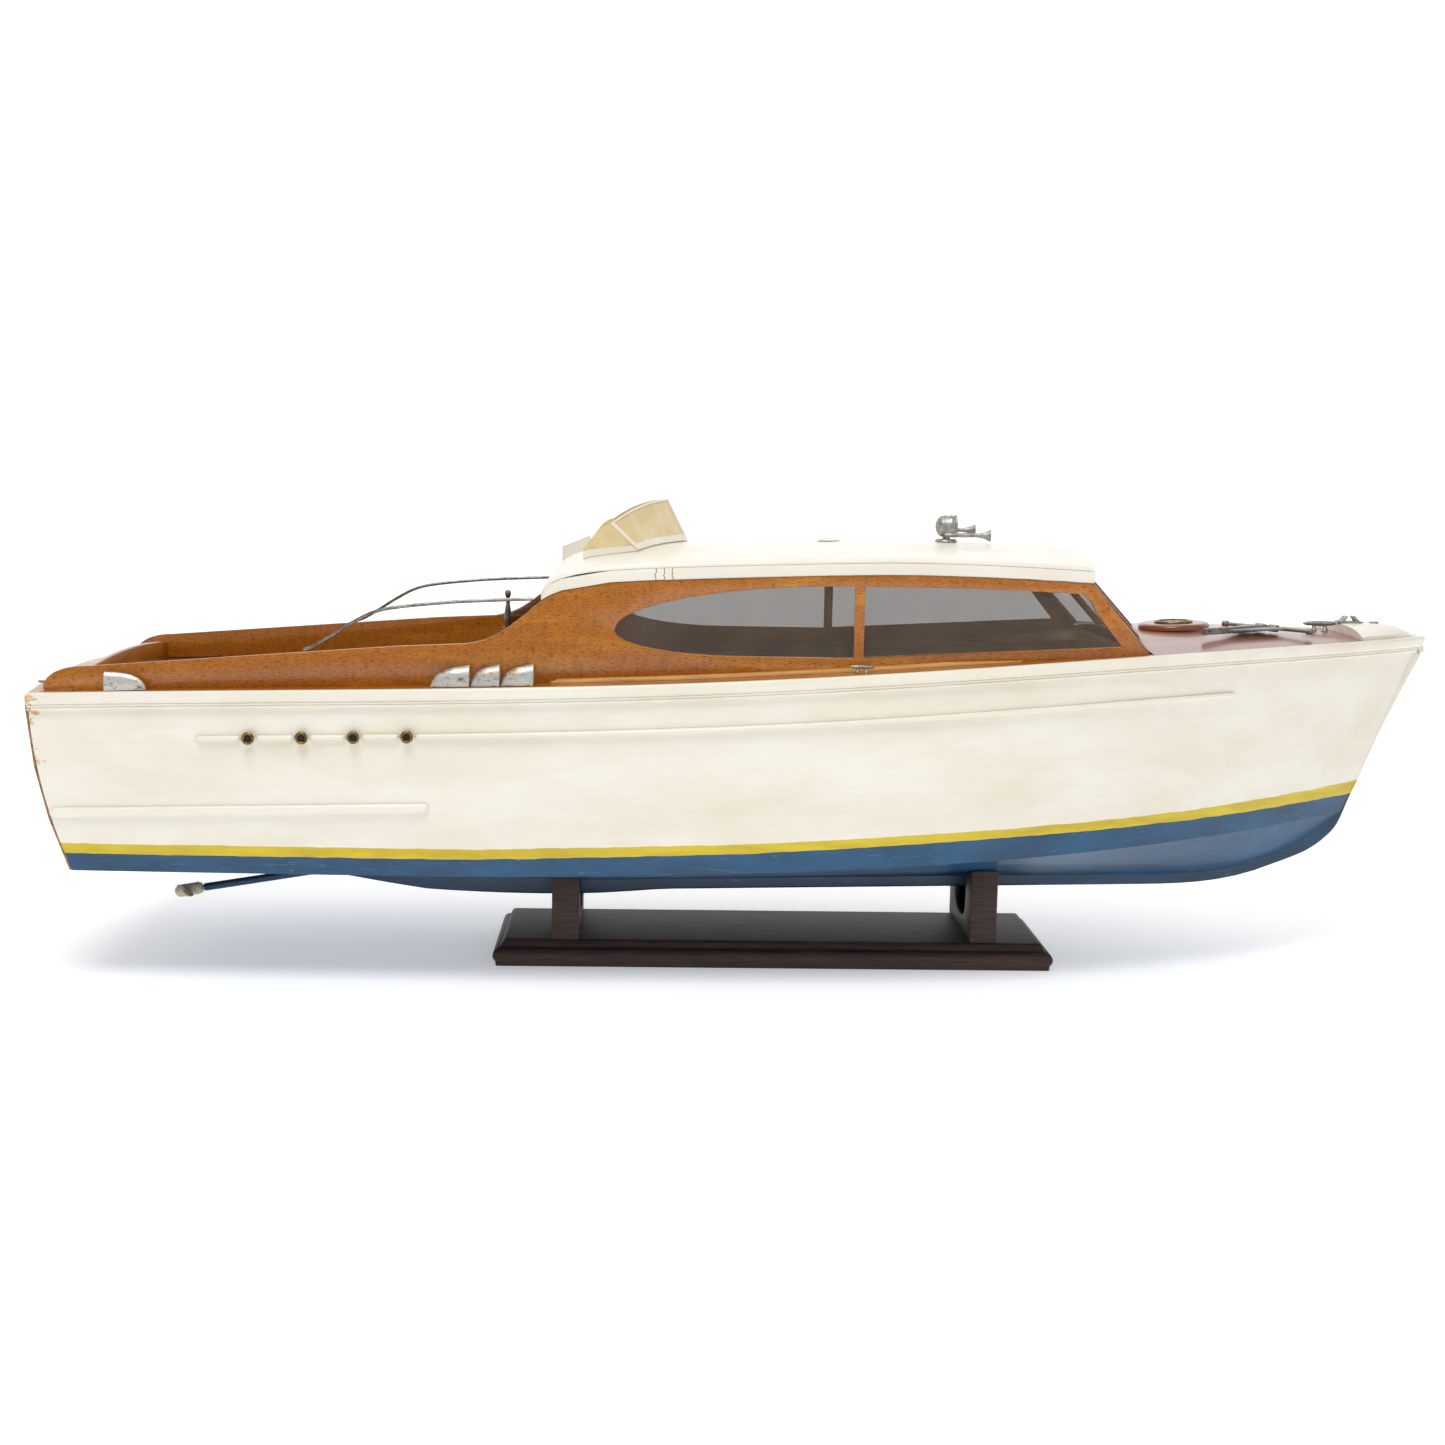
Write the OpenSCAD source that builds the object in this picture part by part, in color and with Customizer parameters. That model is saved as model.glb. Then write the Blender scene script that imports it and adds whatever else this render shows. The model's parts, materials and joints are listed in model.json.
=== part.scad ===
// Wooden radio-controlled model cabin cruiser on its display stand.
// +X is forward, +Y is port, +Z is up. The origin is the middle of the stand's underside.

/* [Hull] */
// Length over all, from the transom to the bow
hull_l = 864; // [780:2:1040]
// Greatest half breadth at the sheer, outside the planking
sheer_half = 122; // [116:0.5:150]
// Half breadth of the sheer at the transom
transom_half = 108; // [106.5:0.5:120]
// Greatest half breadth at the chine
chine_half = 106; // [98:0.5:112]
// Height of the deck edge at the transom
sheer_z = 177; // [170:0.5:215]
// How much the deck edge rises from the transom to the bow
sheer_rise = 37; // [30:0.5:48]
// Height of the chine at the transom
chine_z = 70; // [66:0.5:76]
// Height at which the bottom planking meets the keel amidships
rabbet_z = 49; // [46:0.5:54]
// Thickness of the planking
skin_t = 2.5; // [1.5:0.1:3]
// Thickness of the keel and stem
keel_t = 8; // [6:0.5:10]
// Thickness of the decks
deck_t = 2; // [1.5:0.1:2.5]
// Rise of the foredeck from its edge to the centreline
deck_camber = 7; // [4:0.5:10]
// How far the rub rails stand out from the planking
rub_t = 4; // [3:0.5:5]
// Height of the rub rails
rub_h = 10.5; // [8:0.5:12]

/* [Cabin] */
// Width over the cabin sides and cockpit coamings
cabin_w = 205; // [180:1:207]
// Thickness of the cabin sides
side_t = 2.5; // [2:0.1:4]
// Fore-and-aft position of the cabin's aft end
cabin_aft_x = -134; // [-140:1:-130]
// Height of the roof's underside at its highest point
roof_z = 253.5; // [250:0.5:300]
// Thickness of the roof skin
roof_t = 2.5; // [2:0.1:3.5]
// Height of the roof's edge moulding
mould_h = 7; // [5:0.5:9]
// Rise of the roof from its edge to the centreline
roof_camber = 6; // [4:0.5:10]
// Height of the cockpit floor's upper face
floor_z = 118; // [112:0.5:126]

/* [Drive and steering] */
// Downward slope of the propeller shaft, in degrees
shaft_angle = 9.5; // [8.5:0.1:10]
// Diameter of the propeller shaft
shaft_d = 3; // [2.5:0.1:3.2]
// Outside diameter of the stern tube
tube_d = 5; // [4.8:0.1:6]
// Diameter of the propeller
prop_d = 32; // [26:0.5:34]
// Diameter of the motor can
motor_d = 27.7; // [24:0.1:28]
// Radius of the tiller and of the servo horn, to the link holes
horn_r = 14; // [10:0.5:16]

/* [Stand] */
// Length of the stand's base at its top face
base_l = 342; // [320:1:380]
// Depth of the stand's base at its top face
base_d = 85; // [80:1:110]
// Thickness of the stand's base
base_h = 16.5; // [14:0.5:18]
// How far the base moulding stands out at the foot
base_foot = 6.3; // [5:0.1:8]
// Width of the cradle posts, seen from the side
post_w = 17; // [12:0.5:20]

/* [Hidden] */
$fn = 48;
touch = 0.15;           // gap left between faceted neighbours
run_gap = 0.05;         // radial running clearance
half_l = hull_l / 2;
keel_y = keel_t / 2;
stations = 36;
cabin_y = cabin_w / 2;

// ---- hull lines ------------------------------------------------------------
// t runs from 0 at the transom to 1 at the stem. Each line has its own fore-and-aft run.
veneer_t = 1.5;
sheer_x0 = -half_l + veneer_t + 0.5;
sheer_x1 = half_l - 5;
chine_x0 = -half_l + 22;
chine_x1 = half_l - 49;
stern_bulge = 4.5;
side_bulge = 2;
edge_t = 0.5;           // thickness left at the planking's forward edge
function sheer_x(t) = sheer_x0 + (sheer_x1 - sheer_x0) * t;
function chine_x(t) = chine_x0 + (chine_x1 - chine_x0) * t;
function sheer_t(x) = min(1, max(0, (x - sheer_x0) / (sheer_x1 - sheer_x0)));
function chine_t(x) = min(1, max(0, (x - chine_x0) / (chine_x1 - chine_x0)));
function sheer_y_at(x) = x < 0 ? sheer_half - (sheer_half - transom_half) * pow(x / sheer_x0, 2)
  : keel_y + edge_t + (sheer_half - keel_y - edge_t) * (1 - pow(min(1, x / sheer_x1), 3.2));
function sheer_z_at(x) = let (t = sheer_t(x))
  sheer_z + sheer_rise * t - 0.1 * sheer_rise * sin(360 * pow(t, 1.5));
function chine_y_at(x) = x < 0 ? chine_half - 8 * pow(x / chine_x0, 2)
  : keel_y + edge_t + (chine_half - keel_y - edge_t) * (1 - pow(min(1, x / chine_x1), 2.3));
function chine_z_at(x) = chine_z + 28 * pow(max(0, (x / half_l + 0.463) / 1.355), 1.6);
function rabbet_z_at(x) = let (u = x / half_l)
  rabbet_z + 9.3 * u + 17 * pow(max(0, (-0.2315 - u) / 0.718), 1.3)
  + 41 * pow(max(0, (u - 0.579) / 0.308), 3);

// One hull section at t, as points (x, y, z) on the starboard side, from keel to sheer.
function side_point(t, v) = let (sx = sheer_x(t), cx = chine_x(t))
  [cx + (sx - cx) * v - stern_bulge * 4 * v * (1 - v) * (1 - t),
   chine_y_at(cx) + (sheer_y_at(sx) - chine_y_at(cx)) * v
   + side_bulge * 4 * v * (1 - v) * min(1, 4 * (1 - t)),
   chine_z_at(cx) + (sheer_z_at(sx) - deck_t - chine_z_at(cx)) * v];
function rabbet_point(t) = let (x = chine_x(t)) [x, keel_y, min(rabbet_z_at(x), chine_z_at(x))];
// Inward unit normal of a section edge that goes from a to b, in the transverse plane.
function edge_normal(a, b) = let (d = [b.y - a.y, b.z - a.z], l = max(0.001, norm(d))) [-d.y, d.x] / l;
// Share of the side's height at which the rub rail's lower edge lies.
function rail_v(t) = 1 - (rub_h - deck_t) / (side_point(t, 1).z - side_point(t, 0).z);
function inset(p, n, w) = [p.x, max(keel_y, p.y + n.x * w), p.z + n.y * w];
function chine_inner(t, w) = let (c = side_point(t, 0), s = side_point(t, 1), k = rabbet_point(t),
  n1 = edge_normal(c, s), n2 = edge_normal(k, c), m = (n1 + n2) / (1 + n1 * n2)) inset(c, m, w);
function side_inner(t, v, w) = let (c = side_point(t, 0), s = side_point(t, 1), n = edge_normal(c, s),
  p = side_point(t, v)) v == 0 ? chine_inner(t, w)
  : v == 1 ? [p.x, max(keel_y, p.y + n.x * w), p.z] : inset(p, n, w);
function rabbet_inner(t, w) = let (k = rabbet_point(t), c = chine_inner(t, w),
  n = edge_normal(k, side_point(t, 0)))
  [k.x, k.y, min(k.z + w / max(0.5, n.y), c.z - 0.3)];
function stem_x_at(z) = chine_x1 + (sheer_x1 - chine_x1) * (z - 98) / 115;
// Half breadth of the planking's inner face at (x, z), less a clearance.
function inner_y(x, z, gap) = let (c = chine_y_at(x), zc = chine_z_at(x), s = sheer_y_at(x),
  zs = sheer_z_at(x)) c + (s - c) * min(1, max(0, (z - zc) / (zs - zc))) - skin_t - gap;
t_grid = [for (i = [0:stations]) i / stations];
function v_grid(t) = [0, 0.3, 0.6, rail_v(t), 1];

// ---- helpers ---------------------------------------------------------------
// Closed loft through sections. Each section is two rows of the same number of points.
module strip_loft(sections, flip = false) {
  n = len(sections[0][0]);
  m = 2 * n;
  k = len(sections);
  pts = [for (s = sections) for (p = concat(s[0], [for (i = [n - 1:-1:0]) s[1][i]])) p];
  sides = [for (j = [0:k - 2]) for (i = [0:m - 1]) let (a = j * m + i, b = j * m + (i + 1) % m)
    for (f = [[a, b, b + m], [a, b + m, a + m]]) f];
  cap = [for (i = [0:n - 2]) for (f = [[i, m - 2 - i, i + 1], [i, m - 1 - i, m - 2 - i]]) f];
  last = [for (f = cap) [f[0], f[2], f[1]] + (k - 1) * m * [1, 1, 1]];
  faces = concat(sides, cap, last);
  polyhedron(pts, flip ? faces : [for (f = faces) [f[0], f[2], f[1]]], convexity = 8);
}
module both_sides() {
  children();
  mirror([0, 1, 0]) children();
}
// A flat plate of thickness w whose outline is given in X and Z, centred on y.
module upright(points, w, y = 0) {
  translate([0, y + w / 2, 0]) rotate([90, 0, 0]) linear_extrude(w) polygon(points);
}
module rod(a, b, d) {
  v = b - a;
  translate(a) rotate([0, acos(v.z / norm(v)), atan2(v.y, v.x)]) cylinder(h = norm(v), d = d);
}
module wire(points, d) {
  for (i = [0:len(points) - 2]) rod(points[i], points[i + 1], d);
  for (i = [1:len(points) - 2]) translate(points[i]) sphere(d = 1.02 * d, $fn = 24);
}
module tilted(point, angle) {
  translate(point) rotate([0, angle, 0]) children();
}
function arc(cx, cz, rx, rz, a0, a1, n) =
  [for (i = [0:n]) let (a = a0 + (a1 - a0) * i / n) [cx + rx * cos(a), cz + rz * sin(a)]];

// ---- stand -----------------------------------------------------------------
base_x = 11;
post_gap = 265;         // from the outer face of one cradle to the other, less a post
cradle_aft_x = -121;
cradle_fore_x = cradle_aft_x + post_gap;
post_d = 12;
post_y = 42;
web_t = 3;
notch_w = 40;
notch_z = 38;
module foot_profile(l) {
  h = l / 2;
  f = base_foot;
  right = concat([[h - 1.2, base_h], [h, base_h - 1.2], [h + 1.5, base_h - 4.5]],
    arc(h + 1.5, base_h - 9.5, f - 1.5, 5, 90, -50, 8), [[h + f - 1.8, 0]]);
  polygon(concat(right, [for (i = [len(right) - 1:-1:0]) [-right[i].x, right[i].y]]));
}
module stand_base() {
  color("#4a3227") translate([base_x, 0, 0]) intersection() {
    translate([0, base_d, 0]) rotate([90, 0, 0]) linear_extrude(2 * base_d) foot_profile(base_l);
    translate([-base_l, 0, 0]) rotate([90, 0, 90]) linear_extrude(2 * base_l) foot_profile(base_d);
  }
}
// Height of the outside of the bottom planking at (x, y), for y outside the keel.
function bottom_z(x, y) = let (c = chine_y_at(x))
  rabbet_z_at(x) + (chine_z_at(x) - rabbet_z_at(x)) * (abs(y) - keel_y) / (c - keel_y);
module cradle(x, inner) {
  lo = x - post_w / 2;
  hi = x + post_w / 2;
  web_lo = inner > 0 ? hi - web_t : lo;
  function rest_z(y) = min(bottom_z(lo, y), bottom_z(hi, y)) - 0.4;
  translate([web_lo, 0, 0]) rotate([90, 0, 90]) linear_extrude(web_t) polygon(concat(
    [[-post_y, base_h], [post_y, base_h], [post_y, rest_z(post_y)], [notch_w / 2, rest_z(notch_w / 2)]],
    arc(0, notch_z, notch_w / 2, 12, 0, -180, 12),
    [[-notch_w / 2, rest_z(notch_w / 2)], [-post_y, rest_z(post_y)]]));
  both_sides() translate([lo, 0, 0]) rotate([90, 0, 90]) linear_extrude(post_w) polygon([
    [post_y - post_d, base_h], [post_y, base_h], [post_y, rest_z(post_y)],
    [post_y - post_d, rest_z(post_y - post_d)]]);
}
module cradle_aft() { color("#4f3629") cradle(cradle_aft_x, 1); }
module cradle_fore() { color("#4f3629") cradle(cradle_fore_x, -1); }

// ---- hull ------------------------------------------------------------------
shaft_x = 66 - half_l;               // the propeller's middle
shaft_z = 36.3;
shaft_dir = [cos(shaft_angle), 0, sin(shaft_angle)];
function shaft_point(s) = [shaft_x, 0, shaft_z] + s * shaft_dir;
module along_shaft(s) { tilted(shaft_point(s), 90 - shaft_angle) children(); }
keel_depth = 7;
function keel_bottom(x) = rabbet_z_at(x) - keel_depth * min(1, max(0, (x / half_l + 0.69) / 0.2))
  - 3.5 * max(0, 1 - pow((x / half_l + 0.38) / 0.24, 2));
module keel() {
  keel_end = 0.76 * half_l;
  lower = [for (i = [0:28]) let (x = chine_x0 + 1 + (keel_end - chine_x0 - 1) * i / 28)
    [x, keel_bottom(x)]];
  forefoot = [[half_l - 79, 67], [half_l - 67, 73], [half_l - 57, 81], [half_l - 50, 90],
    [half_l - 43.5, 107], [half_l - 38, 120], [half_l - 26, 151], [half_l - 16, 173],
    [half_l - 7, nose_z - 11], [half_l - 1.5, nose_z - touch], [sheer_x1, nose_z - touch],
    [sheer_x1, sheer_z_on(sheer_x1) - deck_t]];
  inner = [[half_l - 22, sheer_z_on(sheer_x1) - deck_t], [half_l - 48, 152], [half_l - 66, 110],
    [half_l - 84, 86]];
  upper = [for (i = [28:-1:0]) let (x = chine_x0 + 1 + (keel_end - 1 - chine_x0) * i / 28)
    [x, rabbet_z_at(x) + skin_t + 3]];
  color("#1c5a8c") difference() {
    upright(concat(lower, forefoot, inner, upper), keel_t);
    along_shaft(40) cylinder(h = 140, d = tube_d + 0.04);
    translate([rudder_x, 0, 40]) cylinder(h = 40, d = rudder_tube_d + 0.04);
  }
}
module side_skin() {
  strip_loft([for (t = t_grid) [[for (v = v_grid(t)) side_point(t, v)],
    [for (v = v_grid(t)) side_inner(t, v, skin_t)]]]);
}
module bottom_skin() {
  strip_loft([for (t = t_grid) [[side_point(t, 0), rabbet_point(t)],
    [chine_inner(t, skin_t), rabbet_inner(t, skin_t)]]], flip = true);
}
module side_skin_port() { color("#f1ece0") side_skin(); }
module side_skin_starboard() { color("#f1ece0") mirror([0, 1, 0]) side_skin(); }
module bottom_skin_port() { color("#15538a") bottom_skin(); }
module bottom_skin_starboard() { color("#15538a") mirror([0, 1, 0]) bottom_skin(); }

// The transom closes the hull just forward of the planking's aft edge, between the skins.
transom_t = 4;
module transom_plate(dx, w, t) {
  outline = concat([rabbet_inner(0, w)], [for (v = v_grid(0)) side_inner(0, v, w)]);
  strip_loft([for (p = outline) [[[p.x + dx, -p.y, p.z], [p.x + dx, p.y, p.z]],
    [[p.x + dx + t, -p.y, p.z], [p.x + dx + t, p.y, p.z]]]], flip = true);
}
module transom() {
  color("#e9e2d2") difference() {
    transom_plate(0.3, skin_t + touch, transom_t);
    translate([chine_x0, 0, rabbet_z]) cube([40, keel_t + 0.4, 2 * 18], center = true);
  }
}
module transom_veneer() {
  color("#d9c9a8") transom_plate(-veneer_t - 0.5, 0.2, veneer_t);
}

// Transverse frames, inside the planking and notched for the stringers.
frame_xs = [101.5 - half_l, 200.9 - half_l, 0.14 * half_l, 0.53 * half_l, 0.71 * half_l];
frame_t = 4;
stringer_w = 5;
function frame_half(x, top) = let (zc = chine_z_at(x),
  slope = (zc - rabbet_z_at(x)) / (chine_y_at(x) - keel_y), g = skin_t * sqrt(1 + slope * slope) + 1.4)
  concat([[0, rabbet_z_at(x) + skin_t + 4], [keel_y + 0.5, rabbet_z_at(x) + skin_t + 4],
    [keel_y + 0.5, rabbet_z_at(x) + g], [chine_y_at(x) - g - stringer_w, bottom_z(x, chine_y_at(x)
    - g - stringer_w) + g], [chine_y_at(x) - g - stringer_w, zc + g + stringer_w],
    [inner_y(x, zc + g + stringer_w, 1), zc + g + stringer_w]],
    top > sheer_z_at(x) - 14 ? [[inner_y(x, sheer_z_at(x) - 12, 1), sheer_z_at(x) - 12],
      [inner_y(x, sheer_z_at(x) - 12, 1) - stringer_w - 1, sheer_z_at(x) - 12],
      [inner_y(x, sheer_z_at(x) - 12, 1) - stringer_w - 1, top]] : [[inner_y(x, top, 1), top]],
    [[0, top]]);
module frame_at(x, top, hole_w, hole_z0, hole_z1, slot_w = 0) {
  half = frame_half(x + sign(x) * frame_t / 2, top);
  translate([x - frame_t / 2, 0, 0]) rotate([90, 0, 90]) linear_extrude(frame_t) difference() {
    polygon(concat(half, [for (i = [len(half) - 2:-1:1]) [-half[i].x, half[i].y]]));
    translate([-hole_w / 2, hole_z0]) square([hole_w, hole_z1 - hole_z0]);
    if (slot_w > 0) translate([-slot_w / 2, 0]) square([slot_w, hole_z0 + 1]);
  }
}
module frames() {
  color("#c9a66b") {
    frame_at(frame_xs[0], floor_z - 2.2, 60, 72, 108);
    frame_at(frame_xs[1], floor_z - 2.2, 60, 72, 108, slot_w = tube_d + 8);
    frame_at(frame_xs[2], sheer_z_at(frame_xs[2]) - deck_t - 0.3, 168, 90, 250);
    frame_at(frame_xs[3], sheer_z_at(frame_xs[3]) - deck_t - 0.3, 60, 105, 180);
    frame_at(frame_xs[4], sheer_z_at(frame_xs[4]) - deck_t - 0.3, 24, 125, 185);
  }
}
stringer_grid = [for (i = [1:stations - 6]) t_grid[i]];
clamp_drop = 8;
function side_slope(t) = let (d = side_point(t, 1) - side_point(t, 0)) d.y / d.z;
function lean_at(t, h, lean) = max(lean, (side_slope(t) + 0.19) * h);
module bar_loft(grid, w, h, lean) {
  strip_loft([for (t = grid) let (p = side_inner(t, 1, skin_t + touch) - [0, 0, touch])
    [[p + [0, -lean_at(t, h, lean), -h], p], [p + [0, -lean_at(t, h, lean) - w, -h], p + [0, -w, 0]]]]);
}
module chine_bar() {
  strip_loft([for (t = stringer_grid) let (p = chine_inner(t, skin_t + 2 * touch))
    [[p, p + [0, 0, stringer_w]], [p + [0, -stringer_w, 0], p + [0, -stringer_w, stringer_w]]]]);
}
module stringers() {
  color("#d8bb83") both_sides() {
    bar_loft(stringer_grid, 4, clamp_drop, 0.42 * clamp_drop);
    chine_bar();
  }
}

// Bow block, above the stem and ahead of the foredeck.
sheer_y_tab = [for (t = t_grid) [sheer_x(t), sheer_y_at(sheer_x(t))]];
sheer_z_tab = [for (t = t_grid) [sheer_x(t), sheer_z_at(sheer_x(t))]];
function sheer_y(x) = lookup(x, sheer_y_tab);
function sheer_z_on(x) = lookup(x, sheer_z_tab);
function t_between(x0, x1) = [for (x = grid_between(x0, x1)) sheer_t(x)];
function grid_between(x0, x1) = concat([x0],
  [for (t = t_grid) let (x = sheer_x(t)) if (x > x0 + 2 && x < x1 - 2) x], [x1]);
block_x = half_l - 57;
block_rise = 7.5;
nose_z = 203;           // underside of the block's nose, ahead of the planking
across = [for (k = [-4:4]) k / 4];
function block_y(x) = x < sheer_x1 ? sheer_y(x) : keel_y - 2 * (x - sheer_x1) / (half_l - sheer_x1);
function block_top(x) = let (u = max(0, (x - block_x - 22) / (half_l - block_x - 22)))
  sheer_z_on(x) + block_rise - (block_rise + 7) * pow(u, 2.4);
module bow_block() {
  xs = concat(grid_between(block_x, sheer_x1 + 0.1), [sheer_x1 + 0.4, half_l - 2.2, half_l]);
  color("#f1ece0") strip_loft([for (x = xs) let (w = block_y(x),
    lo = x < sheer_x1 + 0.2 ? sheer_z_on(x) - deck_t + touch : nose_z) [[for (k = across) [x, k * w, lo]],
    [for (k = across) [x, k * w, block_top(x) - (block_top(x) - lo) * 0.55 * pow(abs(k), 3.5)]]]]);
}

// Decks
well_aft_x = 27 - half_l;            // the stern coaming's after face
screen_x = 228;                      // the windshield's foot at the cabin sides
function deck_rise(x, y) = deck_camber * pow(sheer_y(x) / sheer_half, 1.5) * (1 - pow(y / sheer_y(x), 2));
module cambered_deck(x0, x1) {
  strip_loft([for (x = grid_between(x0, x1)) let (w = sheer_y(x), z = sheer_z_on(x)) [
    [for (k = across) [x, k * w, z - deck_t + deck_rise(x, k * w)]],
    [for (k = across) [x, k * w, z + deck_rise(x, k * w)]]]]);
}
module foredeck() { color("#9c5a2e") cambered_deck(screen_x, block_x - touch); }
module aft_deck() { color("#a5612f") cambered_deck(sheer_x0, well_aft_x - touch); }
module side_decks() {
  color("#a5612f") both_sides() strip_loft([for (x = grid_between(well_aft_x, screen_x - touch))
    let (w = sheer_y(x), z = sheer_z_on(x)) [
    [[x, cabin_y + touch, z - deck_t], [x, w, z - deck_t]],
    [[x, cabin_y + touch, z], [x, w, z]]]]);
}
module cockpit_floor() {
  x0 = well_aft_x + 4;
  x1 = cabin_aft_x - 4;
  xs = [for (i = [0:12]) x0 + (x1 - x0) * i / 12];
  row = [for (x = xs) [x, inner_y(x, floor_z - 2, 2)]];
  color("#b07a45") translate([0, 0, floor_z - 2]) linear_extrude(2)
    polygon(concat(row, [for (i = [12:-1:0]) [row[i].x, -row[i].y]]));
}

// ---- rails on the topsides -------------------------------------------------
function skin_y(t, z) = lookup(z, [for (v = v_grid(t)) let (p = side_point(t, v)) [p.z, p.y]]);
function skin_x(t, z) = lookup(z, [for (v = v_grid(t)) let (p = side_point(t, v)) [p.z, p.x]]);
function plan_normal(t) = let (a = side_point(max(0, t - 0.02), 1), b = side_point(min(1, t + 0.02), 1),
  d = [b.x - a.x, b.y - a.y]) [-d.y, d.x, 0] / norm(d);
// A rail of height h and thickness w that follows the planking, its upper edge at height z(t).
module skin_rail(grid, zs, h, w) {
  strip_loft([for (i = [0:len(grid) - 1]) let (t = grid[i], z = zs[i], n = plan_normal(t),
    lo = [skin_x(t, z - h), skin_y(t, z - h) + touch, z - h], hi = [skin_x(t, z), skin_y(t, z) + touch, z])
    [[lo, hi], [lo + n * w, hi + n * w]]], flip = true);
}
module rub_rail() {
  strip_loft([for (t = t_grid) let (n = plan_normal(t) * rub_t, out = [0, touch, 0],
    lo = side_point(t, rail_v(t)), hi = lo + (side_point(t, 1) - lo) * rub_h / (rub_h - deck_t))
    [[lo + out, hi + out], [lo + out + n, hi + out + n]]], flip = true);
}
module rub_rail_port() { color("#f4f0e6") rub_rail(); }
module rub_rail_starboard() { color("#f4f0e6") mirror([0, 1, 0]) rub_rail(); }
spray_drop = 26.5;      // from the deck edge down to the spray rail's upper edge
spray_h = 3;
eyelet_xs = [-302, -271, -241, -210];
eyelet_r = 3.75;
function eyelet_z(x) = sheer_z_on(x) - spray_drop - spray_h / 2;
module spray_rails() {
  grid = t_between(-333, 284);
  color("#f4f0e6") both_sides() difference() {
    skin_rail(grid, [for (t = grid) sheer_z_at(sheer_x(t)) - spray_drop], spray_h, 3);
    for (x = eyelet_xs) translate([x, chine_half, eyelet_z(x)]) rotate([-90, 0, 0])
      cylinder(h = 40, r = eyelet_r + touch);
  }
}
module aft_strakes() {
  grid = t_between(sheer_x0, -197);
  color("#f4f0e6") both_sides()
    skin_rail(grid, [for (t = grid) 108.5 + 0.031 * (sheer_x(t) - sheer_x0)], 6, 3);
}
module exhaust_eyelets() {
  color("#b99a55") both_sides() for (x = eyelet_xs) {
    y = max(skin_y(sheer_t(x), eyelet_z(x)) + 0.5, skin_y(sheer_t(x), eyelet_z(x) + eyelet_r) + 0.1);
    translate([x, y, eyelet_z(x)]) rotate([-90, 0, 0]) rotate_extrude()
      polygon([[2, 0], [eyelet_r, 0], [eyelet_r, 3], [3, 4], [2, 4]]);
  }
}

// ---- cabin and cockpit -----------------------------------------------------
roof_gap = 0.3;         // between the roof and what it rests on
roof_fwd_x = 188;
peak_x = 80;
function roof_low(x) = x < peak_x
  ? let (u = (peak_x - x) / (peak_x - cabin_aft_x)) roof_z - 9 * pow(u, 1.3) - 9.5 * pow(u, 14)
  : roof_z - 2.9 * pow((x - peak_x) / 108, 2);
roof_xs = concat([for (d = [0, 0.8, 2.5, 6, 12]) cabin_aft_x + d],
  [for (i = [2:16]) cabin_aft_x + (roof_fwd_x + 3 - cabin_aft_x) * i / 16]);
coaming_end = 9.5 - half_l;
module cabin_outline() {
  top = [for (i = [len(roof_xs) - 2:-1:1]) let (x = roof_xs[i]) [x, roof_low(x) - roof_gap]];
  swoop = [[-144, 226], [-153, 219], [-160, 214.5], [-167, 211.2], [-177, 209], [-192, 208.2],
    [-216, 207], [-274, 202.6], [-397, 192.4]];
  stern = arc(-400, 180, -coaming_end - 400, 12.2, 95, 178, 7);
  foot_aft = [[coaming_end, sheer_z_on(coaming_end) + deck_rise(coaming_end, cabin_y) + 0.4],
    [well_aft_x, sheer_z_on(well_aft_x) + deck_rise(well_aft_x, cabin_y) + 0.4]];
  foot = [for (x = grid_between(well_aft_x + 0.1, screen_x - 0.3)) [x, sheer_z_on(x) - deck_t]];
  polygon(concat([[roof_fwd_x + 2.3, roof_low(roof_fwd_x) - roof_gap]], top, swoop,
    stern, foot_aft, foot));
}
module aft_window(g) {
  polygon(concat(
    [for (i = [0:10]) let (a = 90 * i / 10) [50 - g - (141 - g) * sin(a), 218 + (28 - g) * cos(a)]],
    [for (i = [1:8]) let (a = 90 * i / 8) [-20 - (71 - g) * cos(a), 218 - (14 - g) * sin(a)]],
    [[50 - g, 204 + g]]));
}
module fore_window(g) {
  polygon(concat([[56 + g, 204.5 + g], [209 - 1.6 * g, 213 + g], [193 - g, 233]],
    arc(180, 233, 12 - g, 11 - g, 10, 80, 5), [[150, 245.2 - g], [110, 246 - g], [56 + g, 246 - g]]));
}
module cabin_side() {
  translate([0, cabin_y, 0]) rotate([90, 0, 0]) linear_extrude(side_t) difference() {
    cabin_outline();
    aft_window(0);
    fore_window(0);
  }
}
module cabin_side_port() { color("#b5702e") cabin_side(); }
module cabin_side_starboard() { color("#b5702e") mirror([0, 1, 0]) cabin_side(); }
pane_t = 1;
module side_glazing() {
  color([0.32, 0.31, 0.3, 0.6]) both_sides()
    translate([0, cabin_y - 0.6, 0]) rotate([90, 0, 0]) linear_extrude(pane_t) {
      aft_window(touch);
      fore_window(touch);
    }
}
module stern_coaming() {
  z = sheer_z_on(well_aft_x) + deck_camber + 1;
  w = cabin_y - side_t - touch;
  color("#a5612f") translate([well_aft_x + touch, 0, 0]) rotate([90, 0, 90]) linear_extrude(3)
    polygon(concat([[-w, z - 16], [w, z - 16]], [for (i = [8:-1:-8]) [w * i / 8, z + 6 - 5 * pow(i / 8, 2)]]));
}
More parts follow.
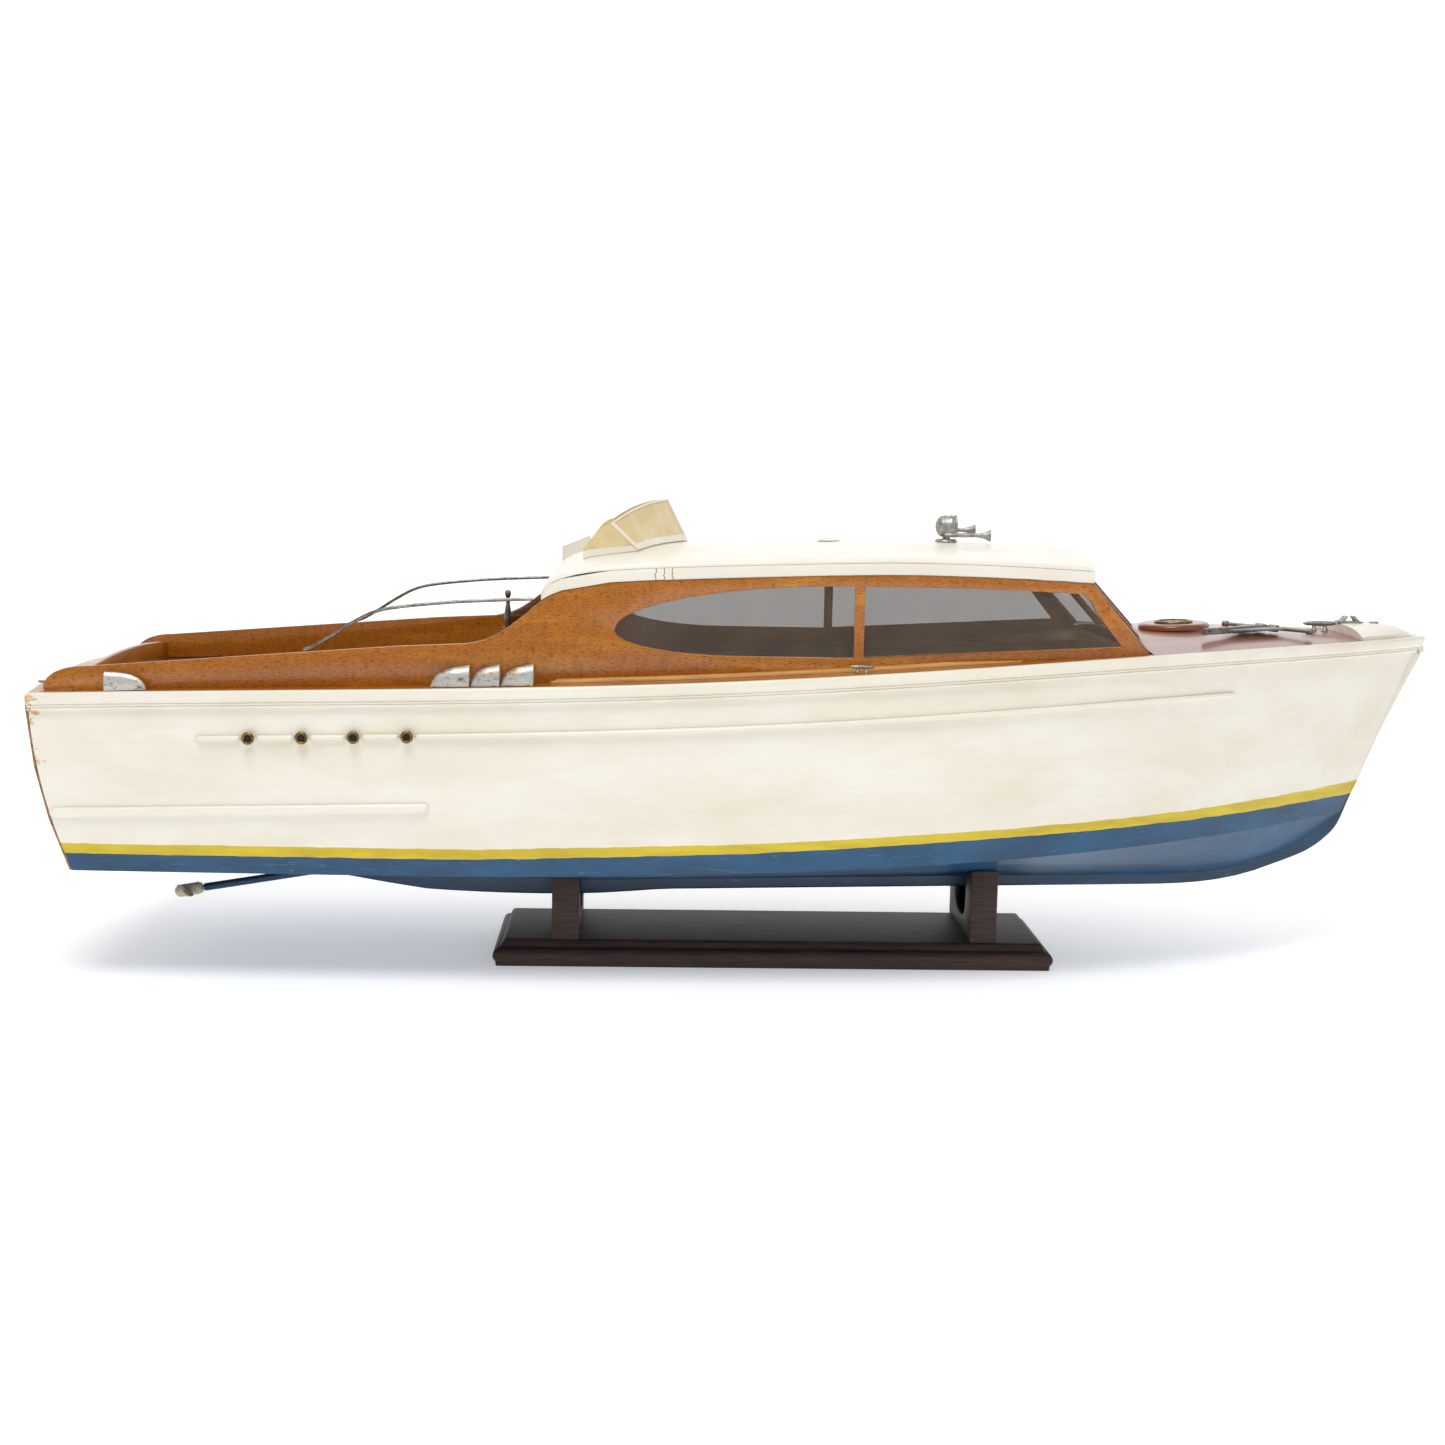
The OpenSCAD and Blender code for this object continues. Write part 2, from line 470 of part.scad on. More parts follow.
// Thick dark doublers that stiffen the cabin's aft opening.
module swoop_doublers() {
  line = [[-138, 231.5], [-144, 225.6], [-153, 218.6], [-160, 214.1], [-167, 210.8]];
  color("#6b4023") both_sides() upright(concat(line,
    [for (i = [4:-1:0]) line[i] + [5, -7.5]]), 8, cabin_y - side_t - 4 - touch);
}
module cabin_bulkhead() {
  w = cabin_y - side_t - touch;
  z0 = sheer_z_on(cabin_aft_x) + 1;
  z1 = roof_low(cabin_aft_x + 8) - roof_gap - 1;
  color("#8a5228") translate([cabin_aft_x + 8, 0, 0]) rotate([90, 0, 90]) linear_extrude(3) difference() {
    translate([-w, z0]) square([2 * w, z1 - z0]);
    translate([-w + 12, z0 - 1]) square([2 * w - 24, z1 - z0 - 8]);
  }
}
// Windshield: two raked panels that meet in a prow on the centreline.
screen_drop = roof_low(roof_fwd_x) - sheer_z_on(screen_x) - 0.437;
screen_rake = [38, 0, -screen_drop];
screen_side = [roof_fwd_x + 2.3, cabin_y - side_t - touch, roof_low(roof_fwd_x) - 1.5];
screen_prow = [roof_fwd_x + 17, 0.1, roof_low(roof_fwd_x) + 6];
function lerp(a, b, f) = a + (b - a) * f;
function screen_at(u, v) = lerp(screen_side, screen_prow, u) + screen_rake * v;
screen_normal = let (n = cross(screen_prow - screen_side, screen_rake)) n / norm(n);
// A plate over the screen's (u, v) square, between depths d0 and d1 behind its face.
module screen_plate(u0, u1, v0, v1, d0, d1) {
  q = [screen_at(u0, v0), screen_at(u1, v0), screen_at(u0, v1), screen_at(u1, v1)];
  s = screen_normal.x > 0 ? 1 : -1;
  strip_loft([[[q[0] - s * d0 * screen_normal, q[1] - s * d0 * screen_normal],
    [q[0] - s * d1 * screen_normal, q[1] - s * d1 * screen_normal]],
    [[q[2] - s * d0 * screen_normal, q[3] - s * d0 * screen_normal],
    [q[2] - s * d1 * screen_normal, q[3] - s * d1 * screen_normal]]]);
}
screen_t = 3;
screen_bar = 0.09;
// Everything below the foredeck's surface, where the windshield stands.
module below_deck(lift) {
  strip_loft([for (x = grid_between(180, 262)) let (w = sheer_y(x), z = sheer_z_on(x) + lift) [
    [for (k = across) [x, k * w, z - 30]], [for (k = across) [x, k * w, z + deck_rise(x, k * w)]]]]);
}
module windshield_frame() {
  color("#9c5a2e") both_sides() difference() {
    screen_plate(0, 1, 0, 1, 0, screen_t);
    for (u = [0.06, 0.53]) screen_plate(u, u + 0.41, screen_bar, 1 - screen_bar, -1, screen_t + 1);
    translate([0, touch / 2 - 50, 0]) cube([1000, 100, 1000], center = true);
    below_deck(0.2);
  }
}
module windshield_panes() {
  color([0.32, 0.31, 0.3, 0.6]) difference() {
    both_sides() for (u = [0.062, 0.532])
      screen_plate(u, u + 0.406, screen_bar + 0.005, 1 - screen_bar - 0.005, 1, 1 + pane_t);
    below_deck(0.4);
  }
}

// ---- roof ------------------------------------------------------------------
roof_overhang = 0.8;
roof_y = cabin_y + roof_overhang;
function bow_v(x, y) = x + 15 * (1 - abs(y) / roof_y) * pow(max(0, (x - 100) / (roof_fwd_x - 97)), 2);
function edge_h(x) = mould_h * sqrt(1 - pow(1 - min(1, (x - cabin_aft_x + 0.5) / 9), 2));
function crown(x, y) = (roof_camber + 3 * max(0, 1 - abs(x + 70) / 60)) * (1 - pow(y / roof_y, 2))
  * min(1, 0.35 + (x - cabin_aft_x) / 40);
module roof() {
  row = [for (k = [-6:6]) roof_y * k / 6];
  color("#f4f0e6") strip_loft([for (x = roof_xs) let (z = roof_low(x) + edge_h(x)) [
    [for (y = row) [bow_v(x, y), y, z + crown(x, y) + 0.02]],
    [for (y = row) [bow_v(x, y), y, z + crown(x, y) + roof_t]]]]);
}
mould_w = 6;
module roof_moulding() {
  color("#f4f0e6") {
    both_sides() strip_loft([for (x = roof_xs) let (z = roof_low(x), h = edge_h(x)) [
      [[bow_v(x, roof_y - mould_w), roof_y - mould_w, z], [bow_v(x, roof_y), roof_y, z]],
      [[bow_v(x, roof_y - mould_w), roof_y - mould_w, z + h - 0.1], [bow_v(x, roof_y), roof_y, z + h - 0.1]]]]);
  }
}
// Open windscreen for the upper helm: front panels that meet on the centreline, and side wings.
helm_y = 62;
helm_t = 1;
function roof_top(x, y) = roof_low(x) + edge_h(x) + crown(x, y) + roof_t;
wing_x = -111;
post_x = -79;
prow_x = -48;
board_x = -130;
helm_foot = [for (q = [[wing_x, helm_y + 4], [post_x, helm_y], [prow_x, 0]])
  [q.x, q.y, roof_top(q.x, q.y) - 2]];
helm_head = [[wing_x, helm_y + 2, roof_top(wing_x, helm_y) + 10],
  [post_x - 16.5, helm_y - 2, roof_top(post_x, helm_y) + 14], [prow_x - 13, 0, roof_top(prow_x, 0) + 26.5]];
// A sheet of thickness t between the lower edge a-b and the upper edge d-c.
module bent_sheet(a, b, c, d, t) {
  strip_loft([for (i = [0:8]) let (lo = lerp(a, b, i / 8), hi = lerp(d, c, i / 8),
    m = cross(lerp(b - a, c - d, 0.5), hi - lo), n = m / norm(m) * t)
    [[lo, hi], [lo + n, hi + n]]]);
}
// Everything below the roof's upper face, near the helm.
module below_roof(lift) {
  row = [for (k = [-6:6]) roof_y * k / 6];
  strip_loft([for (x = roof_xs) if (x < 0) [[for (y = row) [x, y, roof_top(x, y) - 12]],
    [for (y = row) [x, y, roof_top(x, y) + lift]]]]);
}
module bridge_windscreen() {
  color("#f0dcb0") difference() {
    both_sides() {
      bent_sheet(helm_foot[1], helm_foot[0], helm_head[0], helm_head[1], helm_t);
      bent_sheet(helm_foot[2], helm_foot[1], helm_head[1], helm_head[2], helm_t);
    }
    // The port side has a board that carries on aft of its wing.
    bent_sheet(helm_foot[0] - [touch, 0, 0], [board_x, helm_y + 4, roof_top(board_x, helm_y + 4) - 2],
      [board_x, helm_y + 4, 258.8], [wing_x - touch, helm_y + 4, 266.5], helm_t);
    below_roof(0.2);
  }
}
light_x = 118;
function crown_z(x) = roof_top(x, 0);
module searchlight() {
  z = crown_z(light_x) + 0.2;
  color("#c9c7c2") translate([light_x, 0, z]) {
    cylinder(h = 2, d = 14);
    cylinder(h = 6, d = 4);
    translate([-2, 0, 10]) rotate([0, 90, 0]) rotate_extrude()
      polygon(concat([for (i = [0:8]) let (a = 90 * i / 8) [6.8 * sin(a), -5 * cos(a)]],
        [[6.8, 6.5], [7.2, 6.8], [7.2, 8.2], [6.2, 8.2], [6.2, 7.4], [0, 7.4]]));
    for (h = [[-4.5, 27.5, 4.6], [4.5, 19, 7.6]]) translate([0, h[0], h[2]]) rotate([0, 90, 0])
      rotate_extrude() polygon([[0, -2], [1.4, -2], [1.4, h[1] - 9], [3.9, h[1]], [3.2, h[1]],
        [0.8, h[1] - 8], [0, h[1] - 8]]);
    for (y = [-4.5, 4.5]) translate([-1, y - 1, 1]) cube([2, 2, 6]);
  }
}
module roof_disc() {
  color("#ece6d8") translate([42.5, 0, crown_z(42.5) + 0.3]) rotate_extrude()
    polygon([[0, 0], [7.4, 0], [7.4, 0.6], [6.2, 1.4], [0, 1.8]]);
}

// ---- deck fittings ---------------------------------------------------------
rail_d = 2;
module handrails() {
  y = cabin_y - side_t / 2;
  color("#8d8a84") both_sides() {
    lift = roof_low(cabin_aft_x) - 235;   // the forward end follows the roof's aft edge
    wire([for (q = [[-272, 202.4 + rail_d / 2 + 0.3], [-258, 211], [-243, 220.5], [-231, 226.5], [-216, 229.8],
      [-186, 233], [-139, 235.6]]) [q.x, y, q.y + lift * (q.x + 272) / 133]], rail_d);
  }
}
// One cowl vent on the side deck: its blunt open end at x0, and its nose a length l aft or forward.
module cowl_vent(x0, l, h, w) {
  mid = (sheer_y(x0) + cabin_y + 1) / 2;
  steps = [for (i = [0:6]) l < 0 ? 1 - i / 6 : i / 6];
  strip_loft([for (f = steps) let (x = x0 + l * f, z = sheer_z_on(x) + 0.3,
    hh = max(0.8, h * sqrt(1 - pow(f, 2.6))), ww = w / 2 * (1 - 0.35 * f * f))
    [[[x, mid - ww, z], [x, mid + ww, z]], [[x, mid - 0.6 * ww, z + hh], [x, mid + 0.6 * ww, z + hh]]]]);
}
vents = [[-385.5, 23.5, 10.5, 6.5], [-174.5, -22.5, 11.5, 10], [-157, -17, 11.5, 10],
  [-137.5, -19, 11.5, 10]];
module cowl_vents() {
  color("#bdb8a8") both_sides() for (v = vents) cowl_vent(v[0], v[1], v[2], v[3]);
}
module cleat(l) {
  for (x = [-0.18, 0.18]) translate([l * x, 0, 0]) cylinder(h = l * 0.2, d = l * 0.1);
  translate([-l / 2, 0, l * 0.2]) rotate([0, 90, 0]) rotate_extrude()
    polygon([[0, 0], [l * 0.045, l * 0.08], [l * 0.065, l * 0.3], [l * 0.065, l * 0.7], [l * 0.045, l * 0.92], [0, l]]);
}
cleat_x = 54;
bow_cleat_x = half_l - 69;
stern_cleat_x = 10 - half_l;
stern_cleat_y = transom_half - 14;
module cleats() {
  color("#b9b6b0") {
    translate([bow_cleat_x, 0, sheer_z_on(bow_cleat_x) + deck_rise(bow_cleat_x, 0) + 0.2]) cleat(22);
    both_sides() {
      translate([cleat_x, (cabin_y + sheer_y(cleat_x)) / 2, sheer_z_on(cleat_x) + 0.4]) cleat(15);
      translate([stern_cleat_x, stern_cleat_y, sheer_z_on(stern_cleat_x)
        + deck_rise(stern_cleat_x, stern_cleat_y) + 0.4]) cleat(13);
    }
  }
}
chock_x = half_l - 50;
module bow_chock() {
  z = block_top(chock_x) + 0.15;
  color("#b9b6b0") {
    translate([chock_x, 0, z]) {
      translate([-8, -4, 0]) cube([16, 8, 1]);
      for (s = [0, 1]) mirror([s, 0, 0]) translate([5.5, 3, 0]) rotate([90, 0, 0]) linear_extrude(6)
        polygon([[-1.5, 0.5], [1.5, 0.5], [-2.6, 4.5], [-4.2, 4]]);
    }
    translate([chock_x + 16.5, 0, block_top(chock_x + 16.5) - 0.05]) cylinder(h = 1, d = 6);
  }
}
ring_x = 267.5;
ring_z = sheer_z_on(ring_x) + deck_rise(ring_x, 0) + 0.7;
ring_tilt = -atan((sheer_z_on(ring_x + 20) - sheer_z_on(ring_x - 20)) / 40);
module hatch_ring() {
  color("#a5672f") tilted([ring_x, 0, ring_z], ring_tilt) rotate_extrude()
    polygon([[11, 0], [22.5, 0], [22.5, 2.2], [21.3, 3.4], [11, 3.4]]);
}
module hatch_bezel() {
  color("#c4a35a") tilted([ring_x, 0, ring_z], ring_tilt) rotate_extrude()
    polygon([[0, 3.5], [12.2, 3.5], [12.2, 4], [11, 4.8], [9, 4.8], [9, 4.2], [0, 4.2]]);
}
// Anchor, lying loose on the foredeck. Its shank points aft and to starboard.
anchor_crown = [322, -20, sheer_z_on(322) + deck_rise(322, -20) + 4.6];
anchor_turn = 217;
module on_anchor() { translate(anchor_crown) rotate([0, 0, anchor_turn]) children(); }
module anchor_shank() {
  color("#8f8c86") on_anchor() difference() {
    union() {
      translate([4.5, -1.4, -3.4]) cube([60, 2.8, 4]);
      translate([0, 0, -1.4]) rotate([90, 0, 0]) cylinder(h = 66, d = 2.4, center = true);
      translate([1, -1.4, -3.4]) cube([5, 2.8, 4]);
      for (y = [-31.5, 31.5]) translate([0, y, -1.4]) rotate([90, 0, 0]) cylinder(h = 3.4, d = 4, center = true);
    }
    translate([61, 0, -1.4]) rotate([90, 0, 0]) cylinder(h = 8, d = 2, center = true);
  }
}
module anchor_flukes() {
  color("#8f8c86") on_anchor() {
    for (s = [-1, 1]) difference() {
      union() {
        translate([0, s * 5, -1.4]) rotate([90, 0, 0]) cylinder(h = 6, d = 4.6, center = true);
        translate([0, 0, -1.9]) linear_extrude(1.2) polygon([[2, s * 2.2], [2, s * 8],
          [-1, s * 16], [6, s * 15], [44, s * 3.4], [10, s * 2.2]]);
      }
      translate([0, s * 5, -1.4]) rotate([90, 0, 0]) cylinder(h = 40, d = 2.4 + 2 * run_gap, center = true);
    }
  }
}
lever_x = -161;
lever_z = 207;          // height of the lever's pivot
stand_w = 24;
module lever_base() {
  color("#8a5228") difference() {
    union() {
      translate([lever_x - 3, -stand_w / 2, floor_z + touch]) cube([6, stand_w, lever_z - 6 - floor_z]);
      for (y = [-5.5, 3]) translate([lever_x - 3, y, lever_z - 8]) cube([6, 2.5, 11]);
    }
    translate([lever_x, 0, lever_z]) rotate([90, 0, 0]) cylinder(h = 20, d = 2, center = true);
  }
}
module lever() {
  color("#a8a49c") translate([lever_x, 0, lever_z]) {
    rotate([90, 0, 0]) cylinder(h = 11, d = 2 - 2 * run_gap, center = true);
    rotate([90, 0, 0]) cylinder(h = 5, d = 5, center = true);
    rotate_extrude() polygon([[0, 0], [1.4, 0], [2.2, 5], [2.3, 11], [1.6, 16], [1.2, 19], [1.2, 22],
      [1.8, 23], [2, 24.5], [1.5, 26], [0, 26.6]]);
  }
}

// ---- drive -----------------------------------------------------------------
tube_bore = tube_d - 0.8;
tube_s0 = 10.5;
tube_len = 140;
bush_len = 8;
motor_s = 200;
motor_l = 38;
spindle_d = 2.3;
module sleeve(h, od, id) {
  difference() {
    cylinder(h = h, d = od);
    translate([0, 0, -1]) cylinder(h = h + 2, d = id);
  }
}
module stern_tube() { color("#1c5a8c") along_shaft(tube_s0) sleeve(tube_len, tube_d, tube_bore); }
module shaft_bushes() {
  color("#b8893c") for (s = [tube_s0 + 0.5, tube_s0 + tube_len - bush_len - 0.5])
    along_shaft(s) sleeve(bush_len, tube_bore - 0.04, shaft_d + 2 * run_gap);
}
module propeller_shaft() { color("#b9b6b0") along_shaft(-4) cylinder(h = 178, d = shaft_d); }
blade_pitch = 38;
blade_rest = 80;        // turn of the blades about the shaft at rest
module propeller() {
  color("#cbb489") along_shaft(0) rotate([0, 0, blade_rest]) difference() {
    union() {
      rotate_extrude() polygon(concat([for (i = [0:6]) let (a = 90 * i / 6) [4 * sin(a), -5 - 4 * cos(a)]],
        [[4, 5], [3.2, 9], [0, 9]]));
      for (r = [0, 180]) rotate([0, 0, r]) rotate([blade_pitch, 0, 0]) translate([0, 0, -0.6])
        linear_extrude(1.2) polygon(concat([[2, -3]],
          arc(prop_d / 2 - 6.4, 0, 6.3, 6.3, -80, 80, 10), [[2, 3]]));
    }
    translate([0, 0, -4]) cylinder(h = 20, d = shaft_d + 0.04);
  }
}
coupling_s = 166;
module shaft_coupling() {
  color("#c4a35a") along_shaft(coupling_s) difference() {
    cylinder(h = 22, d = 10);
    translate([0, 0, -1]) cylinder(h = 9.5, d = shaft_d + 0.04);
    translate([0, 0, 11]) cylinder(h = 12, d = spindle_d + 0.04);
  }
}
module motor_spindle() { color("#b9b6b0") along_shaft(coupling_s + 11.5) cylinder(h = motor_s + 20 - coupling_s - 11.5, d = spindle_d); }
module motor() {
  color("#9d9fa2") along_shaft(motor_s) difference() {
    rotate_extrude() polygon([[0, -2.2], [4.5, -2.2], [4.5, 0], [motor_d / 2 - 1, 0], [motor_d / 2, 1],
      [motor_d / 2, motor_l - 1], [motor_d / 2 - 1, motor_l], [0, motor_l]]);
    translate([0, 0, -4]) cylinder(h = 26, d = spindle_d + 2 * run_gap);
  }
}
module motor_mount() {
  x0 = shaft_point(motor_s + 4).x;
  x1 = shaft_point(motor_s + 30).x;
  z0 = max(rabbet_z_at(x0), rabbet_z_at(x1)) + skin_t + 3 + touch;
  color("#c9a66b") difference() {
    translate([x0, -12, z0]) cube([x1 - x0, 24, shaft_point(motor_s + 17).z - 6 - z0]);
    along_shaft(motor_s - 10) cylinder(h = 60, d = motor_d + 0.2);
  }
}
function box_floor(x, y) = bottom_z(x, y) + skin_t * 1.12 + 0.3;
module battery() {
  x = [-55, 45];
  z0 = max(box_floor(x[1], 25), box_floor(x[0], 25));
  color("#3a6ea5") translate([x[0], -25, z0]) cube([x[1] - x[0], 50, 24]);
}
module receiver() {
  x = [78, 120];
  z0 = max(box_floor(x[1], 15), rabbet_z_at(x[1]) + skin_t + 3.3);
  color("#3b3b3b") translate([x[0], -15, z0]) cube([x[1] - x[0], 30, 14]);
}

// ---- steering --------------------------------------------------------------
rudder_x = 30 - half_l;
servo_x = rudder_x + 102;
arm_z = 87;
arm_t = 2;
rudder_tube_d = 5;
stock_d = 3;
pin_d = 1.6;
module arm(r) {
  linear_extrude(arm_t) polygon(concat([[-4, 0]], arc(0, 0, 4, 4, 180, 360, 8), [[2.2, r]],
    arc(0, r, 2.2, 2.2, 0, 180, 8)));
  translate([0, r, arm_t - 0.5]) cylinder(h = 3.7, d = pin_d);
}
module servo() {
  z0 = rabbet_z_at(servo_x - 12) + skin_t + 3.5;
  color("#2f2f31") difference() {
    union() {
      translate([servo_x - 10, -10, z0]) cube([40, 20, arm_z - 1.5 - z0]);
      translate([servo_x - 17, -9, arm_z - 12]) cube([54, 18, 2.5]);
      translate([servo_x, 0, arm_z - 2]) cylinder(h = 1.5, d = 12);
    }
    translate([servo_x, 0, arm_z - 10]) cylinder(h = 12, d = 5 + 2 * run_gap);
  }
}
module servo_horn() {
  color("#e8e6df") translate([servo_x, 0, arm_z]) {
    arm(horn_r);
    translate([0, 0, -6]) cylinder(h = 6.5, d = 5);
  }
}
module pushrod() {
  z = arm_z + arm_t + 0.4;
  color("#b9b6b0") difference() {
    union() {
      for (x = [rudder_x, servo_x]) translate([x, horn_r, z]) cylinder(h = 2, d = 5);
      translate([rudder_x, horn_r, z + 1]) rotate([0, 90, 0]) cylinder(h = servo_x - rudder_x, d = 1.6);
    }
    translate([servo_x, horn_r, z - 1]) cylinder(h = 4, d = pin_d + 2 * run_gap);
    translate([rudder_x, horn_r, z - 1]) cylinder(h = 4, d = pin_d + 0.6);
  }
}
rudder_tube_z = rabbet_z_at(rudder_x) - 0.5;
module rudder_tube() {
  color("#c4a35a") translate([rudder_x, 0, rudder_tube_z]) sleeve(arm_z - 0.6 - rudder_tube_z,
    rudder_tube_d, stock_d + 2 * run_gap);
}
module tiller() {
  color("#c4a35a") {
    translate([rudder_x, 0, arm_z]) arm(horn_r);
    translate([rudder_x, 0, rudder_tube_z - 2]) cylinder(h = arm_z - rudder_tube_z + 2.5, d = stock_d);
  }
}

stand_base();
cradle_aft();
cradle_fore();
keel();
side_skin_starboard();
side_skin_port();
bottom_skin_starboard();
bottom_skin_port();
transom();
transom_veneer();
frames();
stringers();
bow_block();
foredeck();
side_decks();
aft_deck();
cockpit_floor();
rub_rail_starboard();
rub_rail_port();
spray_rails();
aft_strakes();
exhaust_eyelets();
cabin_side_starboard();
cabin_side_port();
side_glazing();
stern_coaming();
swoop_doublers();
cabin_bulkhead();
windshield_frame();
windshield_panes();
handrails();
cowl_vents();
cleats();
bow_chock();
hatch_ring();
hatch_bezel();
anchor_shank();
anchor_flukes();
lever_base();
lever();
stern_tube();
shaft_bushes();
propeller_shaft();
propeller();
shaft_coupling();
motor_spindle();
motor();
motor_mount();
battery();
receiver();
servo();
servo_horn();
pushrod();
rudder_tube();
tiller();
roof();
roof_moulding();
bridge_windscreen();
searchlight();
roof_disc();
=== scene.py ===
import json
import math

import bmesh
import bpy
from mathutils import Matrix, Vector


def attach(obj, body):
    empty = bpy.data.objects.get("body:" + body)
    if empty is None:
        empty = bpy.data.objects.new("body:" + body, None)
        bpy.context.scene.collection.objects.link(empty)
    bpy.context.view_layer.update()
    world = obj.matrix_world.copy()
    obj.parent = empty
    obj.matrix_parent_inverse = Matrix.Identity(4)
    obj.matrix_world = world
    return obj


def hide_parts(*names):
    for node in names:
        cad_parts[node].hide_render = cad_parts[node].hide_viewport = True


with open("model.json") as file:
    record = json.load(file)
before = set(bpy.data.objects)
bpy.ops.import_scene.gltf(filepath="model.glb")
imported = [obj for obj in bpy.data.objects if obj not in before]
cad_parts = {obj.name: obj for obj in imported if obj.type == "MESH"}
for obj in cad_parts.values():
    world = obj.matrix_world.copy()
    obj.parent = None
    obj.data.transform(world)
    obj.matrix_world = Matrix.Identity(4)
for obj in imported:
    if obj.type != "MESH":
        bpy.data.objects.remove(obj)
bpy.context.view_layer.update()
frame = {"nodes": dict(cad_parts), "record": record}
nodes = frame["nodes"]
mm = 0.001
print("frame loaded:", len(nodes), "CAD nodes")


# small tools for materials, meshes and pieces

def linear(code):
    parts = [int(code[i:i + 2], 16) / 255 for i in (1, 3, 5)]
    return tuple(c / 12.92 if c <= 0.04045 else ((c + 0.055) / 1.055) ** 2.4 for c in parts) + (1.0,)


def put(tree, kind, values=None, stops=None, **settings):
    # one node; an input takes a value, a hex colour or another node's socket
    node = tree.nodes.new(kind)
    for key, value in settings.items():
        setattr(node, key, value)
    if stops:
        while len(node.color_ramp.elements) < len(stops):
            node.color_ramp.elements.new(0.5)
        for element, (place, code) in zip(node.color_ramp.elements, stops):
            element.position = place
            element.color = linear(code) if isinstance(code, str) else (code, code, code, 1)
    for key, value in (values or {}).items():
        if isinstance(value, bpy.types.NodeSocket):
            tree.links.new(value, node.inputs[key])
        else:
            node.inputs[key].default_value = linear(value) if isinstance(value, str) else value
    return node


def newLook(name, **shaderValues):
    look = bpy.data.materials.new(name)
    look.use_nodes = True
    tree = look.node_tree
    shader = tree.nodes["Principled BSDF"]
    for key, value in shaderValues.items():
        shader.inputs[key.replace("_", " ")].default_value = value
    return look, tree, shader


def grain(tree, sizes, detail=4.0, rough=0.55, distortion=0.0):
    # sizes: the pattern's grain in mm along x, y and z
    spot = put(tree, "ShaderNodeTexCoord").outputs["Object"]
    scaled = put(tree, "ShaderNodeMapping", {"Vector": spot, "Scale": [1000 / s for s in sizes]})
    return put(tree, "ShaderNodeTexNoise", {
        "Vector": scaled.outputs["Vector"], "Scale": 1.0, "Detail": detail, "Roughness": rough,
        "Distortion": distortion}).outputs["Fac"]


def layOver(tree, under, over, pattern, stops):
    # a second tone shows over the first where the pattern lets it through
    shown = put(tree, "ShaderNodeValToRGB", {"Fac": pattern}, stops).outputs["Color"]
    return put(tree, "ShaderNodeMix", {0: shown, 6: under, 7: over}, data_type="RGBA").outputs[2]


def finishLook(tree, shader, colour, height, strength, depth):
    # the finish's colour, and its relief with a depth in mm
    relief = put(tree, "ShaderNodeBump",
                 {"Height": height, "Strength": strength, "Distance": depth * mm})
    tree.links.new(colour, shader.inputs["Base Color"])
    tree.links.new(relief.outputs["Normal"], shader.inputs["Normal"])


def evaluatedMesh(piece):
    graph = bpy.context.evaluated_depsgraph_get()
    graph.update()
    mesh = bpy.data.meshes.new_from_object(piece.evaluated_get(graph))
    piece.modifiers.clear()
    piece.data = mesh


def linkPiece(name, mesh):
    piece = bpy.data.objects.new(name, mesh)
    bpy.context.scene.collection.objects.link(piece)
    return piece


def settle(piece, look, body, stands=(), sharp=35):
    mesh = piece.data
    if look is not None:
        mesh.materials.clear()
        mesh.materials.append(look)
    mesh.shade_smooth()
    mesh.set_sharp_from_angle(angle=math.radians(sharp))
    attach(piece, body)
    if stands:
        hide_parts(*stands)
    return piece


def makePiece(name, parts, look, body, stands=(), sharp=35):
    # parts: one or more (points in mm, faces), joined into one mesh
    mesh = bpy.data.meshes.new(name)
    points, faces = [], []
    for somePoints, someFaces in parts:
        start = len(points)
        points += [Vector(p) * mm for p in somePoints]
        faces += [tuple(i + start for i in face) for face in someFaces]
    mesh.from_pydata(points, [], faces)
    work = bmesh.new()
    work.from_mesh(mesh)
    bmesh.ops.remove_doubles(work, verts=work.verts, dist=0.004 * mm)
    bmesh.ops.recalc_face_normals(work, faces=work.faces)
    work.to_mesh(mesh)
    work.free()
    return settle(linkPiece(name, mesh), look, body, stands, sharp)


def bandFaces(count, rows, loop=False):
    # quads between neighbouring rings of count points; a loop joins the last ring to the first
    return [(j * count + i, j * count + (i + 1) % count, (j + 1) % rows * count + (i + 1) % count,
             (j + 1) % rows * count + i) for j in range(rows if loop else rows - 1) for i in range(count)]


def sheetLoft(sections):
    # each section is two rows of the same length; the result is a closed sheet
    wide = len(sections[0][0])
    ringLong = 2 * wide
    points = [p for a, b in sections for p in list(a) + list(b)[::-1]]
    faces = bandFaces(ringLong, len(sections))
    for start in (0, (len(sections) - 1) * ringLong):
        faces += [(start + i, start + i + 1, start + ringLong - 2 - i, start + ringLong - 1 - i)
                  for i in range(wide - 1)]
    return points, faces


def ringLoft(rings):
    count = len(rings[0])
    points = [p for ring in rings for p in ring]
    lastRing = (len(rings) - 1) * count
    ends = [tuple(range(count)), tuple(range(lastRing, lastRing + count))]
    return points, bandFaces(count, len(rings)) + ends


def lathe(profile, place, steps=48, loop=False):
    # profile: (radius, height) points in mm, turned about the local z axis of place
    turns = [2 * math.pi * i / steps for i in range(steps)]
    points = [place @ Vector((r * math.cos(a), r * math.sin(a), z)) for r, z in profile for a in turns]
    return points, bandFaces(steps, len(profile), loop)


def mirrored(part):
    points, faces = part
    return [(p[0], -p[1], p[2]) for p in points], [face[::-1] for face in faces]


